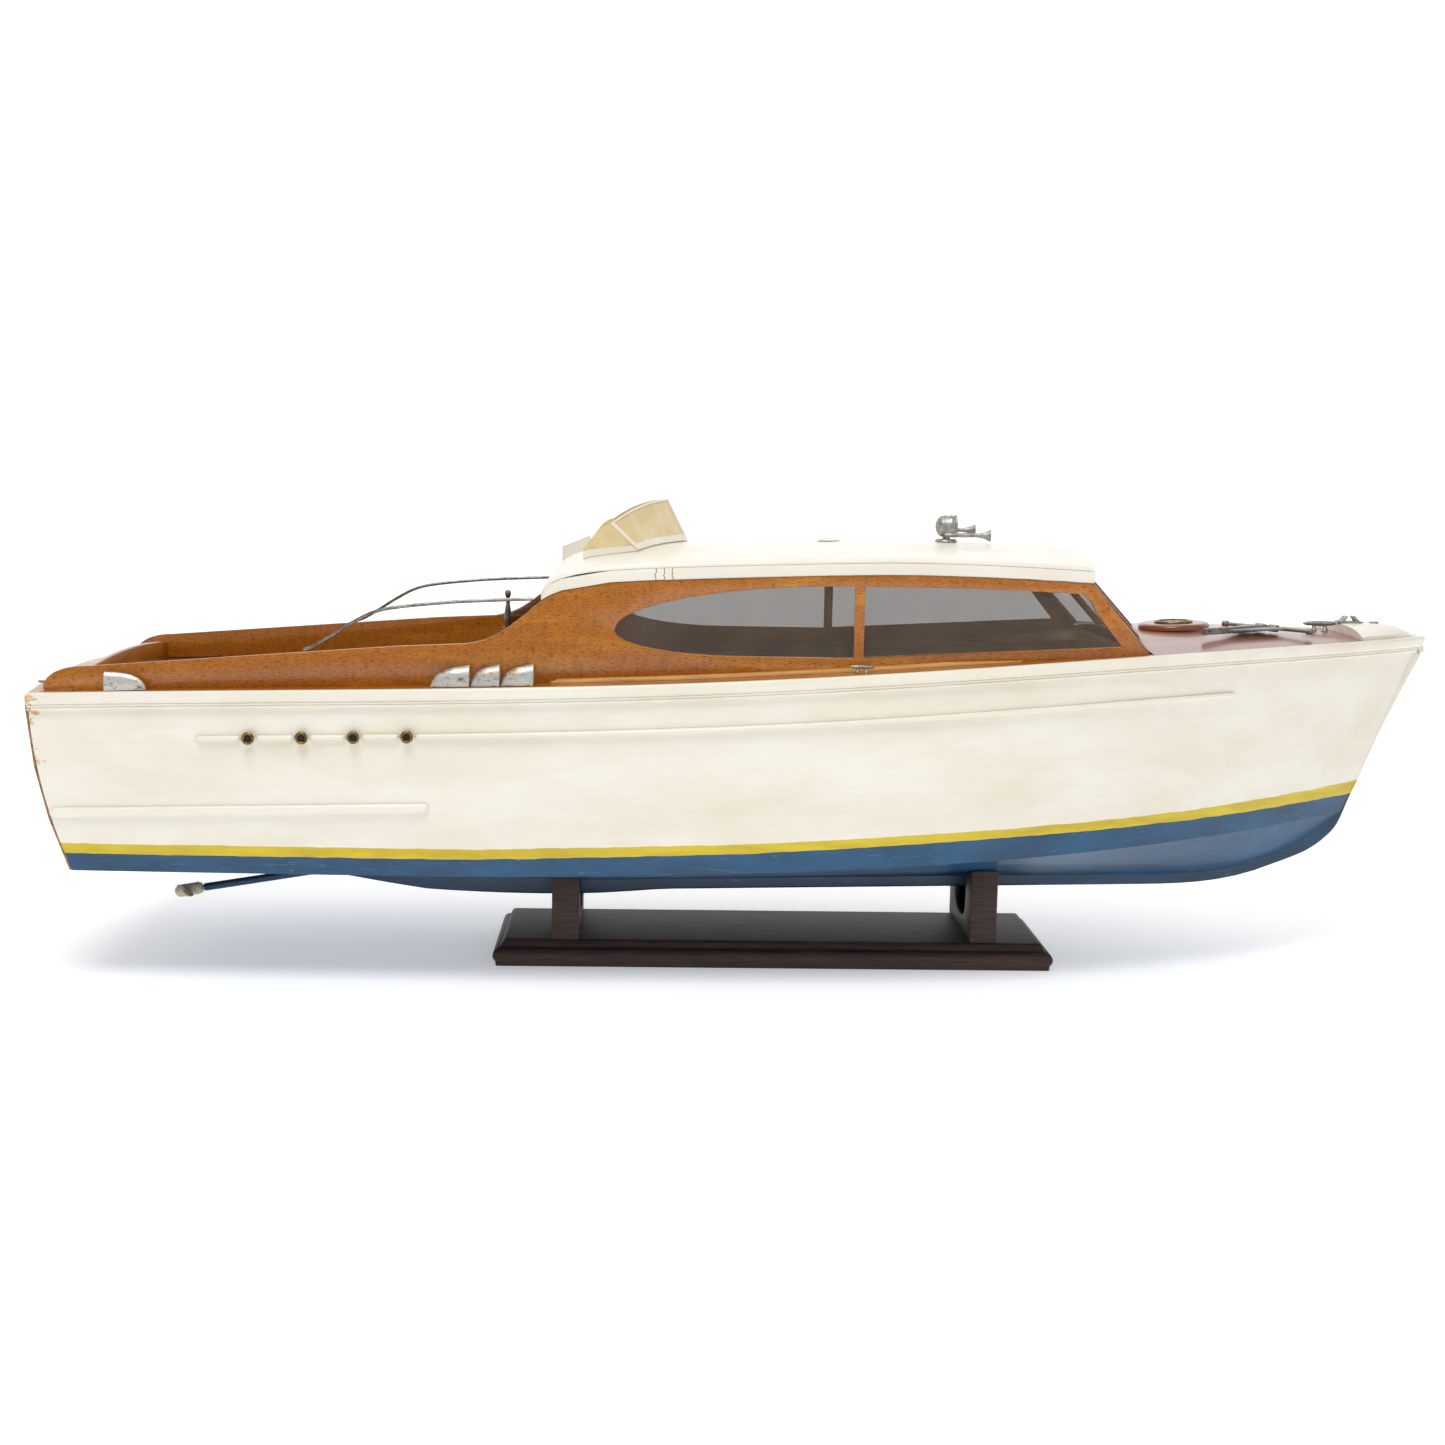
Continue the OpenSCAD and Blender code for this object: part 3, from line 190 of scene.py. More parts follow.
def tube(path, radius, steps=12):
    rings, up = [], Vector((0, 0, 1))
    path = [Vector(p) for p in path]
    for i, p in enumerate(path):
        along = (path[min(i + 1, len(path) - 1)] - path[max(i - 1, 0)]).normalized()
        side = along.cross(up if abs(along.z) < 0.95 else Vector((1, 0, 0))).normalized()
        over = side.cross(along)
        r = radius(i / (len(path) - 1)) if callable(radius) else radius
        turns = [2 * math.pi * k / steps for k in range(steps)]
        rings.append([p + (side * math.cos(a) + over * math.sin(a)) * r for a in turns])
    return ringLoft(rings)


def smoothPath(points, steps=8):
    points = [Vector(p) for p in points]
    ends = [2 * points[0] - points[1]] + points + [2 * points[-1] - points[-2]]
    path = []
    for i in range(1, len(ends) - 2):
        a, b, c, d = ends[i - 1:i + 3]
        for k in range(steps):
            u = k / steps
            path.append(0.5 * (2 * b + (c - a) * u + (2 * a - 5 * b + 4 * c - d) * u * u
                               + (3 * b - a - 3 * c + d) * u ** 3))
    return path + [points[-1]]


def table(x, pairs):
    for (x0, y0), (x1, y1) in zip(pairs, pairs[1:]):
        if x <= x1:
            return y0 + (y1 - y0) * max(0.0, x - x0) / (x1 - x0)
    return pairs[-1][1]


def softenedCopy(node, look, name, width=0.5, segments=2, edgeLook=None, axis=1, sharp=35,
                 flat=0.5):
    # a CAD node with its sharp edges eased; faces that don't look along axis may take a second look
    mesh = nodes[node].data.copy()
    work = bmesh.new()
    work.from_mesh(mesh)
    bmesh.ops.remove_doubles(work, verts=work.verts, dist=0.003 * mm)
    bmesh.ops.dissolve_limit(work, angle_limit=math.radians(flat), verts=work.verts, edges=work.edges)
    bmesh.ops.recalc_face_normals(work, faces=work.faces)
    for face in work.faces:
        face.material_index = 1 if edgeLook and abs(face.normal[axis]) < 0.5 else 0
    work.to_mesh(mesh)
    work.free()
    mesh.materials.clear()
    mesh.materials.append(look)
    if edgeLook:
        mesh.materials.append(edgeLook)
    piece = linkPiece(name, mesh)
    if width:
        ease = piece.modifiers.new("ease", "BEVEL")
        ease.width, ease.segments, ease.limit_method = width * mm, segments, "ANGLE"
        ease.angle_limit = math.radians(38)
        ease.miter_outer = "MITER_ARC"
        evaluatedMesh(piece)
    body = next(b for b, names in frame["record"]["behaviour"]["bodies"].items() if node in names)
    return settle(piece, None, body, [node], sharp)


# materials

def varnishedMahogany(name, light, middle, dark, roughness=0.28):
    # mahogany under old varnish: orange brown, with short dark pores along the grain, a soft gloss
    look, tree, shader = newLook(name, Roughness=roughness, Coat_Weight=0.35, Coat_Roughness=0.12)
    broad = grain(tree, (90, 30, 14), 3, 0.6, 0.6)
    ribbon = grain(tree, (5, 60, 9), 3, 0.55, 0.8)
    fleck = grain(tree, (1.6, 0.7, 0.6), 3, 0.6)
    pores = grain(tree, (3.6, 0.5, 0.48), 2, 0.5)
    bands = [(0.30, middle), (0.5, middle), (0.72, light)]
    colour = put(tree, "ShaderNodeValToRGB", {"Fac": broad}, bands).outputs["Color"]
    colour = layOver(tree, colour, dark, ribbon, [(0.45, 0.0), (0.75, 0.35)])
    colour = layOver(tree, colour, light, fleck, [(0.38, 0.35), (0.55, 0.0)])
    colour = layOver(tree, colour, dark, pores, [(0.56, 0.0), (0.64, 0.85)])
    finishLook(tree, shader, colour, pores, 0.15, 0.12)
    return look


def plainWood(name, light, dark, roughness=0.55, along=(60, 5, 3)):
    # unvarnished or stained wood: dull, with long streaks along the grain
    look, tree, shader = newLook(name, Roughness=roughness)
    streaks = grain(tree, along, 5, 0.6, 0.4)
    colour = put(tree, "ShaderNodeValToRGB", {"Fac": streaks}, [(0.3, dark), (0.7, light)])
    finishLook(tree, shader, colour.outputs["Color"], streaks, 0.25, 0.3)
    return look


sternChips = {"from": -0.4285, "to": -0.414, "low": 0.10, "high": 0.18}  # in metres


def agedWhite(tree, clean="#efeadd", dirty="#e7decb"):
    # old brushed enamel: cream white, yellowed in soft patches, chipped to the wood at the stern
    yellowing = grain(tree, (70, 45, 28), 4, 0.6)
    strokes = grain(tree, (34, 6, 1.1), 3, 0.5)
    patches = [(0.38, clean), (0.72, dirty)]
    colour = put(tree, "ShaderNodeValToRGB", {"Fac": yellowing}, patches).outputs["Color"]
    colour = layOver(tree, colour, "#d8cfbd", strokes, [(0.5, 0.0), (0.8, 0.22)])
    spot = put(tree, "ShaderNodeTexCoord").outputs["Object"]
    along = put(tree, "ShaderNodeSeparateXYZ", {"Vector": spot})
    edge = put(tree, "ShaderNodeMapRange", {
        "Value": along.outputs["X"], "From Min": sternChips["from"], "From Max": sternChips["to"],
        "To Min": 0.26, "To Max": 0.0})
    high = put(tree, "ShaderNodeMapRange", {
        "Value": along.outputs["Z"], "From Min": sternChips["low"], "From Max": sternChips["high"],
        "To Min": 0.25, "To Max": 1.0})
    edge = put(tree, "ShaderNodeMath", {0: edge.outputs[0], 1: high.outputs[0]}, operation="MULTIPLY")
    flakes = grain(tree, (9, 7, 5), 7, 0.72)
    chips = put(tree, "ShaderNodeMath", {0: flakes, 1: edge.outputs[0]}, operation="ADD").outputs[0]
    bare = [(0.38, "#6e3a1a"), (0.46, "#dba873"), (0.7, "#e8bd8c")]
    wood = put(tree, "ShaderNodeValToRGB", {"Fac": grain(tree, (3, 3, 8), 3)}, bare).outputs["Color"]
    return layOver(tree, colour, wood, chips, [(0.722, 0.0), (0.735, 0.9)]), strokes


def whiteEnamel(name, cracks=()):
    # brushed enamel on a small piece; cracks are the stations in mm of hairline splits across it
    look, tree, shader = newLook(name, Roughness=0.36, Coat_Weight=0.12)
    colour, strokes = agedWhite(tree)
    if cracks:
        spot = put(tree, "ShaderNodeTexCoord").outputs["Object"]
        along = put(tree, "ShaderNodeSeparateXYZ", {"Vector": spot}).outputs["X"]
        wander = grain(tree, (30, 30, 4), 2)
        shifted = put(tree, "ShaderNodeMath", {0: wander, 1: 0.006, 2: along},
                      operation="MULTIPLY_ADD").outputs[0]
        for x in cracks:
            line = put(tree, "ShaderNodeMath", {0: shifted, 1: x * mm + 0.003, 2: 0.0003},
                       operation="COMPARE").outputs[0]
            colour = put(tree, "ShaderNodeMix", {0: line, 6: colour, 7: "#8d7f6a"},
                         data_type="RGBA").outputs[2]
    finishLook(tree, shader, colour, strokes, 0.18, 0.12)
    return look


def antifouling(tree, light, dark, scratch):
    # flat boat paint: deep blue, cloudy, with pale scratches and rubbed spots
    clouds = grain(tree, (55, 40, 22), 5, 0.62)
    fine = grain(tree, (16, 3, 1.2), 4, 0.6, 0.8)
    rubbed = grain(tree, (6, 5, 4), 6, 0.7)
    depths = [(0.34, dark), (0.68, light)]
    colour = put(tree, "ShaderNodeValToRGB", {"Fac": clouds}, depths).outputs["Color"]
    colour = layOver(tree, colour, scratch, fine, [(0.60, 0.0), (0.70, 0.35)])
    return layOver(tree, colour, scratch, rubbed, [(0.69, 0.0), (0.72, 0.75)])


def boatPaint(name, light, dark, scratch):
    # the bottom's antifouling on its own, a little rough to the eye
    look, tree, shader = newLook(name, Roughness=0.42, Coat_Weight=0.1)
    colour = antifouling(tree, light, dark, scratch)
    finishLook(tree, shader, colour, grain(tree, (8, 4, 2), 3), 0.12, 0.15)
    return look


def topsidePaint(name, bottom=("#075079", "#043a5c", "#648ea1")):
    # white above the boot top, a hand-painted yellow line, and the bottom's blue below it
    look, tree, shader = newLook(name, Roughness=0.36, Coat_Weight=0.12)
    white, strokes = agedWhite(tree)
    level = put(tree, "ShaderNodeAttribute", attribute_name="bootTop").outputs["Fac"]
    wobble = grain(tree, (14, 14, 14), 2)
    level = put(tree, "ShaderNodeMath", {0: wobble, 1: 0.22, 2: level},
                operation="MULTIPLY_ADD").outputs[0]
    lower = put(tree, "ShaderNodeMath", {0: level, 1: 0.11}, operation="GREATER_THAN").outputs[0]
    upper = put(tree, "ShaderNodeMath", {0: level, 1: 1.11}, operation="GREATER_THAN").outputs[0]
    brushed = [(0.35, "#c4aa10"), (0.65, "#d8c01e")]
    yellow = put(tree, "ShaderNodeValToRGB", {"Fac": grain(tree, (30, 20, 6), 4)}, brushed)
    colour = antifouling(tree, *bottom)
    for shown, over in ((lower, yellow.outputs["Color"]), (upper, white)):
        colour = put(tree, "ShaderNodeMix", {0: shown, 6: colour, 7: over}, data_type="RGBA").outputs[2]
    finishLook(tree, shader, colour, strokes, 0.15, 0.12)
    return look


def metal(name, light, dark, roughness, grainSize=(4, 4, 4)):
    # plated or bare metal gone dull: uneven tone and sheen
    look, tree, shader = newLook(name, Metallic=1.0)
    clouds = grain(tree, grainSize, 5, 0.65)
    colour = put(tree, "ShaderNodeValToRGB", {"Fac": clouds}, [(0.32, dark), (0.68, light)])
    sheen = put(tree, "ShaderNodeMapRange", {"Value": clouds, "To Min": roughness + 0.12,
                                             "To Max": roughness - 0.06})
    tree.links.new(sheen.outputs[0], shader.inputs["Roughness"])
    finishLook(tree, shader, colour.outputs["Color"], clouds, 0.08, 0.05)
    return look


def silverLeaf(name):
    # silver paint over a yellow undercoat that shows where it is rubbed, with dark specks
    look, tree, shader = newLook(name, Roughness=0.34, Metallic=0.75)
    rubbed = grain(tree, (9, 6, 4), 5, 0.65, 0.5)
    specks = grain(tree, (1.5, 1.2, 1.2), 3, 0.6)
    worn = [(0.34, "#77706a"), (0.44, "#d9d7d0"), (0.56, "#e6e3da"), (0.66, "#c9a84e")]
    colour = put(tree, "ShaderNodeValToRGB", {"Fac": rubbed}, worn).outputs["Color"]
    colour = layOver(tree, colour, "#4a423a", specks, [(0.60, 0.0), (0.70, 0.6)])
    finishLook(tree, shader, colour, specks, 0.2, 0.1)
    return look


def mouldedPlastic(name, light, dark, roughness=0.5, grainSize=(3, 3, 3)):
    # moulded nylon or ABS: nearly even, with a faint cloud and a dull gloss
    look, tree, shader = newLook(name, Roughness=roughness)
    clouds = grain(tree, grainSize, 4)
    colour = put(tree, "ShaderNodeValToRGB", {"Fac": clouds}, [(0.3, dark), (0.7, light)])
    finishLook(tree, shader, colour.outputs["Color"], clouds, 0.06, 0.05)
    return look


def clearSheet(name, tint, deep, alpha, roughness=0.06, grainSize=(30, 30, 30)):
    # thin cast sheet seen edge to edge: tinted, glossy, and letting the inside through
    look, tree, shader = newLook(name, Roughness=roughness, Alpha=alpha, IOR=1.49, Coat_Weight=0.3)
    clouds = grain(tree, grainSize, 4, 0.6)
    colour = put(tree, "ShaderNodeValToRGB", {"Fac": clouds}, [(0.3, deep), (0.7, tint)])
    tree.links.new(colour.outputs["Color"], shader.inputs["Base Color"])
    return look


looks = {
    "mahogany": varnishedMahogany("varnishedMahoganyPly", "#c8841f", "#aa6212", "#6b350c"),
    "redMahogany": varnishedMahogany("varnishedMahogany", "#a8653a", "#854829", "#4e2414"),
    "stripedMahogany": plainWood("dullStripedMahogany", "#8a5638", "#3c2015", 0.5, (40, 4, 2.2)),
    "plyEdge": plainWood("barePlywoodEdge", "#e0b068", "#b9803c", 0.6, (8, 8, 0.8)),
    "paleWood": plainWood("limewood", "#d9a45c", "#b87a34", 0.5, (30, 2, 2)),
    "birch": plainWood("birchPly", "#d8bd8a", "#b8935c", 0.6),
    "walnut": plainWood("stainedWalnut", "#4a3025", "#20130e", 0.6, (24, 3, 1.4)),
    "veneer": plainWood("wornVeneer", "#b08560", "#68432b", 0.55, (20, 40, 3)),
    "white": whiteEnamel("agedWhiteEnamel"),
    "crackedWhite": whiteEnamel("crackedWhiteEnamel", (-67, -62, -57, -175)),
    "topside": topsidePaint("topsideEnamel"),
    # the keel's copy of the topside paint has its blue darkened: painted shade for the keel under the hull
    "keelShadedPaint": topsidePaint("keelEnamelShaded", ("#063f60", "#032a43", "#537c8e")),
    "blue": boatPaint("blueAntifouling", "#074d76", "#043859", "#6a92a2"),
    # a darker copy of the blue antifouling: painted shade, for the stern tube under the hull
    "shadedBlue": boatPaint("blueAntifoulingShaded", "#063f60", "#032a43", "#537c8e"),
    "window": clearSheet("smokedAcetate", "#6b5f50", "#4a4036", 0.34, 0.05),
    "celluloid": clearSheet("yellowedCelluloid", "#f1e0b4", "#e0c48a", 0.82, 0.14, (16, 16, 16)),
    "lens": clearSheet("clearGlass", "#e8f0f2", "#cfdce0", 0.35, 0.03),
    "nickel": metal("dullNickel", "#a8a49c", "#5f5a52", 0.32),
    "castMetal": metal("greyCastMetal", "#c4c2bc", "#8b8881", 0.5, (2.5, 2.5, 2.5)),
    "silver": silverLeaf("silverPaint"),
    "brass": metal("tarnishedBrass", "#a8874e", "#5f4522", 0.36, (2, 2, 2)),
    "steel": metal("bareSteel", "#b4b4b2", "#7d7c7a", 0.3),
    "nylon": mouldedPlastic("tanNylon", "#e0d2b2", "#bba981", 0.45),
    "blackPlastic": mouldedPlastic("blackAbs", "#2b2b2d", "#171718"),
    "whitePlastic": mouldedPlastic("whiteNylon", "#efece2", "#dcd8ca"),
    "batteryWrap": mouldedPlastic("shrinkWrap", "#2d6fae", "#1f4f80", 0.3),
    # near-black: painted shade standing for the dark inside of the eyelets' bores
    "dark": mouldedPlastic("boreShadePaint", "#1c1712", "#0d0a08", 0.8),
}
print("materials:", len(looks))


# hull lines, in mm

hull = {"length": 864, "sheerHalf": 122, "transomHalf": 108, "chineHalf": 106, "sheerZ": 177,
        "sheerRise": 37, "chineZ": 70, "rabbetZ": 49, "skin": 2.5, "keel": 8, "deck": 2, "camber": 7,
        "stations": 180}
halfL, keelY = hull["length"] / 2, hull["keel"] / 2
sheerX0, sheerX1 = -halfL + 2, halfL - 5
chineX0, chineX1 = -halfL + 22, halfL - 49
edgeT = 0.5


def sheerXOf(t):
    return sheerX0 + (sheerX1 - sheerX0) * t


def sheerTOf(x):
    return min(1, max(0, (x - sheerX0) / (sheerX1 - sheerX0)))


def sheerY(x):
    if x < 0:
        return hull["sheerHalf"] - (hull["sheerHalf"] - hull["transomHalf"]) * (x / sheerX0) ** 2
    return keelY + edgeT + (hull["sheerHalf"] - keelY - edgeT) * (1 - min(1, x / sheerX1) ** 3.2)


def sheerZ(x):
    t = sheerTOf(x)
    return hull["sheerZ"] + hull["sheerRise"] * (t - 0.1 * math.sin(2 * math.pi * t ** 1.5))


def chineY(x):
    if x < 0:
        return hull["chineHalf"] - 8 * (x / chineX0) ** 2
    return keelY + edgeT + (hull["chineHalf"] - keelY - edgeT) * (1 - min(1, x / chineX1) ** 2.3)


def chineZ(x):
    return hull["chineZ"] + 28 * max(0, (x / halfL + 0.463) / 1.355) ** 1.6


def rabbetZ(x):
    u = x / halfL
    return (hull["rabbetZ"] + 9.3 * u + 17 * max(0, (-0.2315 - u) / 0.718) ** 1.3
            + 41 * max(0, (u - 0.579) / 0.308) ** 3)


def sidePoint(t, v):
    sx, cx = sheerXOf(t), chineX0 + (chineX1 - chineX0) * t
    belly = 4 * v * (1 - v)
    return Vector((cx + (sx - cx) * v - 4.5 * belly * (1 - t),
                   chineY(cx) + (sheerY(sx) - chineY(cx)) * v + 2 * belly * min(1, 4 * (1 - t)),
                   chineZ(cx) + (sheerZ(sx) - hull["deck"] - chineZ(cx)) * v))


def rabbetPoint(t):
    x = chineX0 + (chineX1 - chineX0) * t
    return Vector((x, keelY, min(rabbetZ(x), chineZ(x))))


def inwards(a, b):
    d = Vector((b.y - a.y, b.z - a.z))
    return Vector((-d.y, d.x)) / max(0.001, d.length)


def moved(p, n, w):
    return Vector((p.x, max(keelY, p.y + n.x * w), p.z + n.y * w))


def chineInner(t, w):
    c = sidePoint(t, 0)
    n1, n2 = inwards(c, sidePoint(t, 1)), inwards(rabbetPoint(t), c)
    return moved(c, (n1 + n2) / (1 + n1.dot(n2)), w)


def sideInner(t, v, w):
    if v == 0:
        return chineInner(t, w)
    n = inwards(sidePoint(t, 0), sidePoint(t, 1))
    p = sidePoint(t, v)
    return Vector((p.x, max(keelY, p.y + n.x * w), p.z)) if v == 1 else moved(p, n, w)


def rabbetInner(t, w):
    k = rabbetPoint(t)
    n = inwards(k, sidePoint(t, 0))
    return Vector((k.x, k.y, min(k.z + w / max(0.5, n.y), chineInner(t, w).z - 0.3)))


def planNormal(t):
    a, b = sidePoint(max(0, t - 0.02), 1), sidePoint(min(1, t + 0.02), 1)
    return Vector((a.y - b.y, b.x - a.x, 0)).normalized()


def onSide(x, z):
    # the topside's outer face at a station and height
    t = sheerTOf(x)
    for _ in range(6):
        low, high = 0.0, 1.0
        for _ in range(18):
            v = (low + high) / 2
            low, high = (v, high) if sidePoint(t, v).z < z else (low, v)
        t = min(1, max(0, t + (x - sidePoint(t, v).x) / (sheerX1 - sheerX0)))
    return sidePoint(t, v), planNormal(t)


def deckRise(x, y):
    return hull["camber"] * (sheerY(x) / hull["sheerHalf"]) ** 1.5 * (1 - (y / sheerY(x)) ** 2)


bootTop = {"upper": [(-432, 87), (-170, 87.3), (-16, 92.5), (140, 101.8), (270, 109.6), (400, 119.5)],
           "lower": [(-432, 80.7), (-170, 81), (-16, 86.5), (140, 96.3), (270, 103), (400, 110.8)]}


def paintLevel(piece):
    # 0 at the yellow line's lower edge and 1 at its upper edge
    mesh = piece.data
    level = mesh.attributes.new("bootTop", "FLOAT", "POINT")
    values = []
    for vertex in mesh.vertices:
        x, z = vertex.co.x / mm, vertex.co.z / mm
        low, high = table(x, bootTop["lower"]), table(x, bootTop["upper"])
        values.append((z - low) / (high - low))
    level.data.foreach_set("value", values)
    return piece


def share(count):
    return [i / count for i in range(count + 1)]


def bareInside(piece):
    # the planking is painted outside only
    piece.data.materials.append(looks["birch"])
    for face in piece.data.polygons:
        if face.normal.y * face.center.y < 0 or face.normal.z > 0.6:
            face.material_index = 1
    return piece


grid = share(hull["stations"])
sideShares = share(16)
skins = sheetLoft([([sidePoint(t, v) for v in sideShares],
                    [sideInner(t, v, hull["skin"]) for v in sideShares]) for t in grid])
bottoms = sheetLoft([([sidePoint(t, 0), rabbetPoint(t)],
                      [chineInner(t, hull["skin"]), rabbetInner(t, hull["skin"])]) for t in grid])

for name, node, part in (("topsidePort", "side_skin_port", skins),
                         ("topsideStarboard", "side_skin_starboard", mirrored(skins))):
    bareInside(paintLevel(makePiece(name, [part], looks["topside"], "hull", [node])))
for name, node, part in (("bottomPort", "bottom_skin_port", bottoms),
                         ("bottomStarboard", "bottom_skin_starboard", mirrored(bottoms))):
    bareInside(makePiece(name, [part], looks["blue"], "hull", [node]))

# stem: how far each point of the stem's face lies aft of the bow, and its height
keelSizes = {"depth": 7, "nose": 203, "round": 1.6,
             "stem": [(79, 67), (67, 73), (57, 81), (50, 90), (43.5, 107), (38, 120), (26, 151), (16, 173),
                      (7, 192)]}


def keelBottom(x):
    u = x / halfL
    return (rabbetZ(x) - keelSizes["depth"] * min(1, max(0, (u + 0.69) / 0.2))
            - 3.5 * max(0, 1 - ((u + 0.38) / 0.24) ** 2))


def keelOutline():
    lowerX = [chineX0 + 1 + (0.76 * halfL - chineX0 - 1) * s for s in share(60)]
    lower = [(x, keelBottom(x)) for x in lowerX]
    stem = [(halfL - aft, 0, z) for aft, z in keelSizes["stem"]]
    foot = smoothPath([(lower[-1][0], 0, lower[-1][1])] + stem, 5)
    lower += [(p.x, p.z) for p in foot[1:]]
    head = [(halfL - 1.8, keelSizes["nose"] - 0.2), (halfL - 5, keelSizes["nose"] - 0.2),
            (sheerX1, sheerZ(sheerX1) - 2.2)]
    inner = [(halfL - 22, sheerZ(sheerX1) - 2.2), (halfL - 48, 152), (halfL - 66, 110), (halfL - 84, 86)]
    upperX = [chineX0 + 1 + (0.76 * halfL - 2 - chineX0) * s for s in share(60)[::-1]]
    return lower + head + inner + [(x, rabbetZ(x) + hull["skin"] + 3) for x in upperX]


keelMesh = bpy.data.meshes.new("keelPlate")
work = bmesh.new()
plate = work.faces.new([work.verts.new((x * mm, -keelY * mm, z * mm)) for x, z in keelOutline()])
grown = bmesh.ops.extrude_face_region(work, geom=[plate])
farSide = [g for g in grown["geom"] if isinstance(g, bmesh.types.BMVert)]
bmesh.ops.translate(work, vec=(0, 2 * keelY * mm, 0), verts=farSide)
bmesh.ops.recalc_face_normals(work, faces=work.faces)
work.to_mesh(keelMesh)
work.free()
keelPiece = linkPiece("keelAndStem", keelMesh)
ease = keelPiece.modifiers.new("ease", "BEVEL")
ease.width, ease.segments = keelSizes["round"] * mm, 3
ease.limit_method, ease.angle_limit = "ANGLE", math.radians(60)
evaluatedMesh(keelPiece)
# the keel's blue is darker than the topsides' blue: painted shade under the hull
paintLevel(settle(keelPiece, looks["keelShadedPaint"], "hull", ["keel"]))
print("hull skins and keel done")


# rails on the topsides

rails = {"rubOut": 4, "rubHigh": 10.5, "gap": 0.15,
         "rubProfile": [(0, 0), (0.45, 0.0), (0.62, 0.05), (0.68, 0.13), (0.52, 0.18), (0.66, 0.22),
                        (0.80, 0.28), (0.66, 0.34), (0.90, 0.39), (1.0, 0.48), (1.0, 0.80), (0.93, 0.93),
                        (0.75, 1.0), (0, 1.0)]}


def rubRail():
    rings = []
    for t in grid:
        foot, head = sidePoint(t, 0), sidePoint(t, 1)
        lower = sidePoint(t, 1 - (rails["rubHigh"] - hull["deck"]) / (head.z - foot.z))
        rise = (head - lower) * rails["rubHigh"] / (rails["rubHigh"] - hull["deck"])
        out, n = Vector((0, rails["gap"], 0)), planNormal(t) * rails["rubOut"]
        rings.append([lower + rise * h + out + n * w for w, h in rails["rubProfile"]])
    return ringLoft(rings)


rub = rubRail()
for name, node, part in (("rubRailPort", "rub_rail_port", rub),
                         ("rubRailStarboard", "rub_rail_starboard", mirrored(rub))):
    makePiece(name, [part], looks["white"], "hull", [node], 50)

spray = {"drop": 26.5, "high": 3.2, "out": 3, "eyelets": (-302, -271, -241, -210), "clear": 4.1,
         "from": -333, "to": 284}


def beadAlong(x0, x1, topOf, high, out, step=6, taper=3.0):
    # a half-round bead on the topside between two stations, with rounded ends
    count = max(4, int((x1 - x0) / step))
    stations = sorted({x0, x0 + 0.25 * taper, x0 + 0.6 * taper, x0 + taper, x1 - taper, x1 - 0.6 * taper,
                       x1 - 0.25 * taper, x1} | {x0 + (x1 - x0) * s for s in share(count)
                                                 if taper < (x1 - x0) * s < x1 - x0 - taper})
    rings = []
    for x in stations:
        near = min(x - x0, x1 - x)
        full = math.sqrt(max(0.02, 1 - (1 - min(1, near / taper)) ** 2))
        top = topOf(x)
        ring = []
        for k in range(9):
            a = math.pi * k / 8
            z = top - high / 2 - high / 2 * full * math.cos(a)
            p, n = onSide(x, z)
            ring.append(p + Vector((0, rails["gap"], 0)) + n * out * full * math.sin(a) ** 0.7)
        rings.append(ring)
    return ringLoft(rings)


def sprayTop(x):
    return sheerZ(x) - spray["drop"]


gaps = [x for e in spray["eyelets"] for x in (e - spray["clear"], e + spray["clear"])]
cuts = [spray["from"]] + gaps + [spray["to"]]
beads = [beadAlong(a, b, sprayTop, spray["high"], spray["out"]) for a, b in zip(cuts[::2], cuts[1::2])]
makePiece("sprayRails", beads + [mirrored(b) for b in beads], looks["white"], "hull",
          ["spray_rails"], 60)

strake = {"from": -421, "to": -198, "high": 6, "out": 3, "z": 108.5, "slope": 0.031}


def strakeTop(x):
    return strake["z"] + strake["slope"] * (x - sheerX0)


strakeBar = beadAlong(strake["from"], strake["to"], strakeTop, strake["high"], strake["out"], 8, 4.5)
makePiece("aftStrakes", [strakeBar, mirrored(strakeBar)], looks["white"], "hull",
          ["aft_strakes"], 60)


# eyelets and handrails, made with Geometry Nodes

def treeFor(name, inputs):
    tree = bpy.data.node_groups.new(name, "GeometryNodeTree")
    tree.interface.new_socket("Geometry", in_out="INPUT", socket_type="NodeSocketGeometry")
    tree.interface.new_socket("Geometry", in_out="OUTPUT", socket_type="NodeSocketGeometry")
    for label, kind, value in inputs:
        tree.interface.new_socket(label, in_out="INPUT", socket_type=kind).default_value = value
    return tree, put(tree, "NodeGroupInput"), put(tree, "NodeGroupOutput")


def finishTree(tree, result, geometry, look):
    real = put(tree, "GeometryNodeRealizeInstances", {"Geometry": geometry})
    smooth = put(tree, "GeometryNodeSetShadeSmooth", {"Geometry": real.outputs[0]})
    coloured = put(tree, "GeometryNodeSetMaterial", {"Geometry": smooth.outputs[0], "Material": look})
    tree.links.new(coloured.outputs[0], result.inputs[0])


def runTree(name, points, edges, tree, values, look, body, stands):
    mesh = bpy.data.meshes.new(name)
    mesh.from_pydata([Vector(p) * mm for p in points], edges, [])
    piece = linkPiece(name, mesh)
    modifier = piece.modifiers.new(name, "NODES")
    modifier.node_group = tree
    for item in tree.interface.items_tree:
        if item.in_out == "INPUT" and item.name in values:
            modifier[item.identifier] = values[item.name]
    evaluatedMesh(piece)
    return settle(piece, look, body, stands)


eyelets = {"ring": 2.9, "lip": 0.85, "standOff": 3.4, "rise": -1.5, "sleeve": 3.4, "sunk": -1.9}


